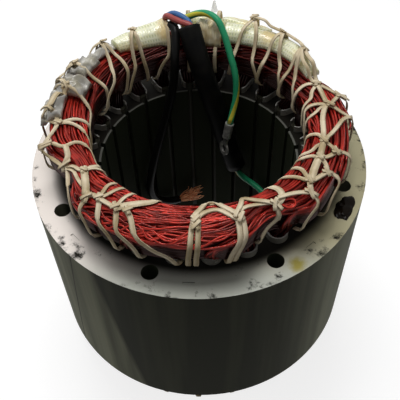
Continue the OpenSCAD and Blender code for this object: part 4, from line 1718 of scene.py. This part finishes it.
@dataclass
class Leads:
    """The leads that come out of the left glass sleeve and are put away in the bore."""

    glass_angle: float = 122
    glass_radius: float = 71.65
    glass_diameter: float = 12
    tuck_in: float = 14
    wire: float = 3.6
    earth: float = 4
    black: float = 5.5
    sleeve: float = 13

    def up(self, *stops: Point) -> list[Vector]:
        """Points at heights above the core's top face."""
        return [Vector((x, y, CORE_HIGH + z)) for x, y, z in stops]

    def out_of_glass(self, radial: float, rise: float, onward: float = 0) -> Vector:
        """Point on the end face of the left glass sleeve.

        Args:
            radial: Distance outwards from the face's middle.
            rise: Distance above its middle.
            onward: Distance past the face.

        Returns:
            The point.
        """
        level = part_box("glass_sleeve_left")[1].z / MM - self.glass_diameter / 2
        ahead = polar(self.glass_angle - 90, onward, 0)
        return polar(self.glass_angle, self.glass_radius + radial, level + rise) + ahead

    def build(self) -> None:
        """Lays every lead on its route."""
        up, glass = self.up, self.out_of_glass
        mouth, throat = up((-22, 56.5, 44.4), (-19, 53, 39))
        tuck = self.tuck_in * (throat - mouth).normalized()
        right, back = mouth + Vector((2.1, -0.6, 0.4)), mouth + Vector((-0.6, 2.4, 0.6))
        Lead("red_lead", [
            glass(0.8, 3.4), *up((-36.8, 60.7, 46.6), (-32.2, 59, 46.6), (-26.6, 57.4, 46.2)),
            right, right + tuck,
        ], self.wire, RED, "red_insulation", "object", "limp").build()
        Lead("blue_lead", [
            glass(3.6, 0.9),
            *up((-37.6, 65.6, 43.8), (-33.6, 64, 46.6), (-28.6, 61.8, 47.2), (-24.6, 60.4, 46)),
            back, back + tuck,
        ], self.wire, BLUE, "blue_insulation", "object", "limp").build()
        OpenSleeve("lead_sleeve", [
            mouth, throat,
            *up((-14.5, 49, 29), (-9, 46.5, 14), (-2, 46.5, -10), (5, 46.5, -36), (11, 46.5, -54)),
        ], self.sleeve, RUBBER, "black_sleeve", "bare", "medium", steps=4, sides=24).build()
        bare = up((-29.5, 42, -98.5))[0]
        fan = CopperStrands(bare, (17, 6, 6)).build()
        Lead("black_lead", [
            glass(-3.1, 0.9, 1.6), *up(
                (-31.6, 57.2, 41.5), (-29.8, 54, 40), (-28.9, 50.8, 37), (-28.4, 47.8, 33),
                (-28.1, 45.6, 28.5), (-28.1, 44, 22.5), (-29, 41.8, 10), (-33.5, 39, -12), (-40, 32.5, -40),
                (-44, 26.5, -62), (-44.5, 25.5, -76), (-42.5, 29.5, -88.5), (-37.5, 36, -96.5)), bare,
        ], self.black, BLACK, "black_sleeve", "bare", "limp", companions=(fan,)).build()
        Lead("earth_lead", [
            glass(2.2, -3), *up(
                (-34.8, 64.5, 39.5), (-27, 65.8, 43.7), (-21.5, 67.3, 46.3), (-16, 67.5, 47.8),
                (-11, 66.3, 47.8), (-6.2, 63.5, 46.5), (-1.2, 59.5, 40), (3.8, 54.6, 30), (8.2, 50.5, 19),
                (9.6, 47, 8), (9, 43.5, -1), (8, 39.5, -9)),
        ], self.earth, EARTH, "green_insulation", "fitting", "limp", companions=("earth_terminal",)).build()
        Lead("wall_lead", up(
            (11, 46.5, -54.2), (12.5, 46.8, -60), (16, 47.5, -65.5), (22, 47.3, -69.5), (29, 44.5, -71.5),
            (36.5, 38.5, -73.5), (44, 29.5, -76.5), (50, 17, -81.5), (53, 3, -88.5), (52, -12, -98),
            (45, -27.5, -109), (32, -42, -124), (15, -50.5, -138), (-2.5, -52.5, -146),
            (-19.5, -49.3, -147.5),
        ), self.earth, WALL, "green_insulation", "bare", "limp").build()


@dataclass
class VarnishDrip:
    """Dark varnish that ran down on the core's face and set there."""

    angle: float = -10.3
    radius: float = 88.5
    length: float = 15
    width: float = 9.5
    height: float = 1.0
    rim: float = 0.05
    uneven: float = 0.5
    lobes: float = 3
    segments: int = 32
    rings: int = 16

    def ball(self) -> tuple[list[Vector], list[tuple[int, ...]]]:
        """Lays out a ball one across, ring by ring from its top.

        Returns:
            Its points, and the point numbers of each face.
        """
        count, points, faces = self.segments, [Vector((0, 0, 0.5))], []
        for i in range(1, self.rings):
            drop = math.pi * i / self.rings
            axes = (Vector((0, 0, 0.5 * math.cos(drop))), Vector((1, 0, 0)), Vector((0, 1, 0)))
            points += circle(*axes, 0.5 * math.sin(drop), count)
        points.append(Vector((0, 0, -0.5)))
        last = len(points) - 1
        for j in range(count):
            k = (j + 1) % count
            faces.append((0, 1 + j, 1 + k))
            for low in range(1, last - count, count):
                faces.append((low + j, low + count + j, low + count + k, low + k))
            faces.append((last, last - count + k, last - count + j))
        return points, faces

    def build(self) -> None:
        """Shapes the drip from a ball pressed flat and pulled uneven."""
        points, faces = self.ball()
        turn = Matrix.Rotation(math.radians(self.angle), 3, "Z")
        shaped = []
        for p in points:
            wobble = 1 + self.uneven * noise.noise(self.lobes * p)
            flat = Vector((p.x * self.width * wobble, p.y * self.length * wobble, 0))
            rise = max(self.rim, 2 * p.z) * self.height * wobble
            shaped.append(turn @ (flat + Vector((self.radius, 0, 0))) + Vector((0, 0, CORE_HIGH + rise)))
        piece = new_mesh("varnish_drip", shaped, faces, DARK_VARNISH)
        piece.data.polygons.foreach_set("use_smooth", [True] * len(faces))
        put(piece, "electrical_steel")


@dataclass
class Core:
    """The lamination stack with its liners and wedges, which keep their solids' shapes."""

    finishes: tuple[tuple[str, Finish], ...] = (
        ("lamination_stack", ElectricalSteel()), ("slot_liners", SLOT_FILM), ("slot_wedges", WEDGE_BOARD),
        ("sleeve_tip", TIP_FILM), ("earth_terminal", TIN),
    )

    def dress(self) -> None:
        """Gives each node its finish."""
        for node, finish in self.finishes:
            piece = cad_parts[node]
            piece.data.materials.clear()
            piece.data.materials.append(finish.material())
            LOG.info("%s: %s", node, finish.label)


@dataclass(frozen=True)
class PictureCamera:
    """The picture's viewpoint, in the millimetres of the solids."""

    distance: float = 403.47
    elevation: float = 50.7024
    roll: float = -1.9399
    target: float = 109.89
    lens: float = 58.15
    sensor: float = 36

    def build(self) -> None:
        """Makes the camera and looks through it."""
        data = bpy.data.cameras.new("picture_camera")
        data.lens, data.sensor_width = self.lens, self.sensor
        camera = stand("picture_camera", data)
        back = Vector((0, -math.cos(math.radians(self.elevation)), math.sin(math.radians(self.elevation))))
        right = Vector((1, 0, 0))
        tilt = Matrix.Rotation(math.radians(self.roll), 3, back)
        axes = Matrix((tilt @ right, tilt @ back.cross(right), back)).transposed()
        place = Matrix.Translation(Vector((0, 0, self.target * MM)) + back * self.distance * MM)
        camera.matrix_world = Matrix.Rotation(math.radians(PICTURE_TURN), 4, "Z") @ place @ axes.to_4x4()
        bpy.context.scene.camera = camera


@dataclass(frozen=True)
class Lamp:
    """A square studio lamp aimed at the stator."""

    name: str
    azimuth: float
    elevation: float
    size: float
    power: float
    distance: float = 0.9
    aim: float = 0.12

    def build(self) -> None:
        """Hangs the lamp on its stand; azimuth 0 is the picture's front and 90 its right."""
        data = bpy.data.lights.new(self.name, "AREA")
        data.size, data.energy = self.size, self.power
        lamp = stand(self.name, data)
        turn, rise = math.radians(self.azimuth + PICTURE_TURN), math.radians(self.elevation)
        way = Vector((math.sin(turn) * math.cos(rise), -math.cos(turn) * math.cos(rise), math.sin(rise)))
        lamp.location = Vector((0, 0, self.aim)) + way * self.distance
        lamp.rotation_euler = way.to_track_quat("Z", "Y").to_euler()


@dataclass(frozen=True)
class Studio:
    """A pale floor, a soft dome and a few lamps."""

    floor_size: float = 6
    dome: str = "#f4f5f6"
    dome_strength: float = 0.06
    dome_glow: float = 0.85
    floor_glow: float = 0.8
    floor_grey: float = 0.35
    lamps: tuple[Lamp, ...] = (
        Lamp("key_overhead", 190, 79, 0.36, 4.6),
        Lamp("back_left_panel", 220, 42, 0.6, 1.7),
        Lamp("left_edge_strip", 285, 14, 0.3, 0.5),
        Lamp("right_edge_strip", 78, 14, 0.3, 0.5),
        Lamp("front_fill", 355, 62, 0.4, 0.58),
    )

    def seen(self, tree: Tree, shown: float, hidden: float) -> Socket:
        """Strength as the camera, metal and glass see it, and as the rest of the light meets it.

        Args:
            tree: Node tree that takes the nodes.
            shown: Strength for camera, glossy and transmission rays.
            hidden: Strength for all other rays.

        Returns:
            The strength.
        """
        looks: Socket | float = 0.0
        for ray in ("Is Camera Ray", "Is Glossy Ray", "Is Transmission Ray"):
            looks = add(tree, "Math", {0: looks, 1: add(tree, "LightPath", {}, ray)}, operation="MAXIMUM")
        return add(tree, "MapRange", {"Value": looks, "To Min": hidden, "To Max": shown})

    def floor(self) -> None:
        """Lays the floor, which shows white to the camera and keeps the shadow."""
        bpy.ops.object.select_all(action="DESELECT")
        bpy.ops.mesh.primitive_plane_add(size=self.floor_size)
        plane = bpy.context.object
        plane.name = "studio_floor"
        paint = bpy.data.materials.new("studio_floor_paint")
        tree = bare_tree(paint)
        pale = add(tree, "BsdfDiffuse", {"Color": (*[self.floor_grey] * 3, 1)})
        glow = add(tree, "Emission", {"Strength": self.seen(tree, self.floor_glow, 0.0)})
        add(tree, "OutputMaterial", {"Surface": add(tree, "AddShader", {0: pale, 1: glow})})
        plane.data.materials.append(paint)

    def build(self) -> None:
        """Sets up the floor, the dome and the lamps."""
        self.floor()
        world = bpy.data.worlds.new("studio_dome")
        tree = bare_tree(world)
        strength = self.seen(tree, self.dome_glow, self.dome_strength)
        dome = add(tree, "Background", {"Color": self.dome, "Strength": strength})
        add(tree, "OutputWorld", {"Surface": dome})
        bpy.context.scene.world = world
        bpy.context.scene.view_settings.view_transform = "Standard"
        for lamp in self.lamps:
            lamp.build()


def main() -> None:
    """Builds the studio and every piece in order."""
    logging.basicConfig(level=logging.INFO, format="%(message)s")
    PictureCamera().build()
    Leads().build()
    Studio().build()
    Core().dress()
    VarnishDrip().build()
    Winding().build()
    Lacing().build()
    Joints().build()


if __name__ == "__main__":
    main()
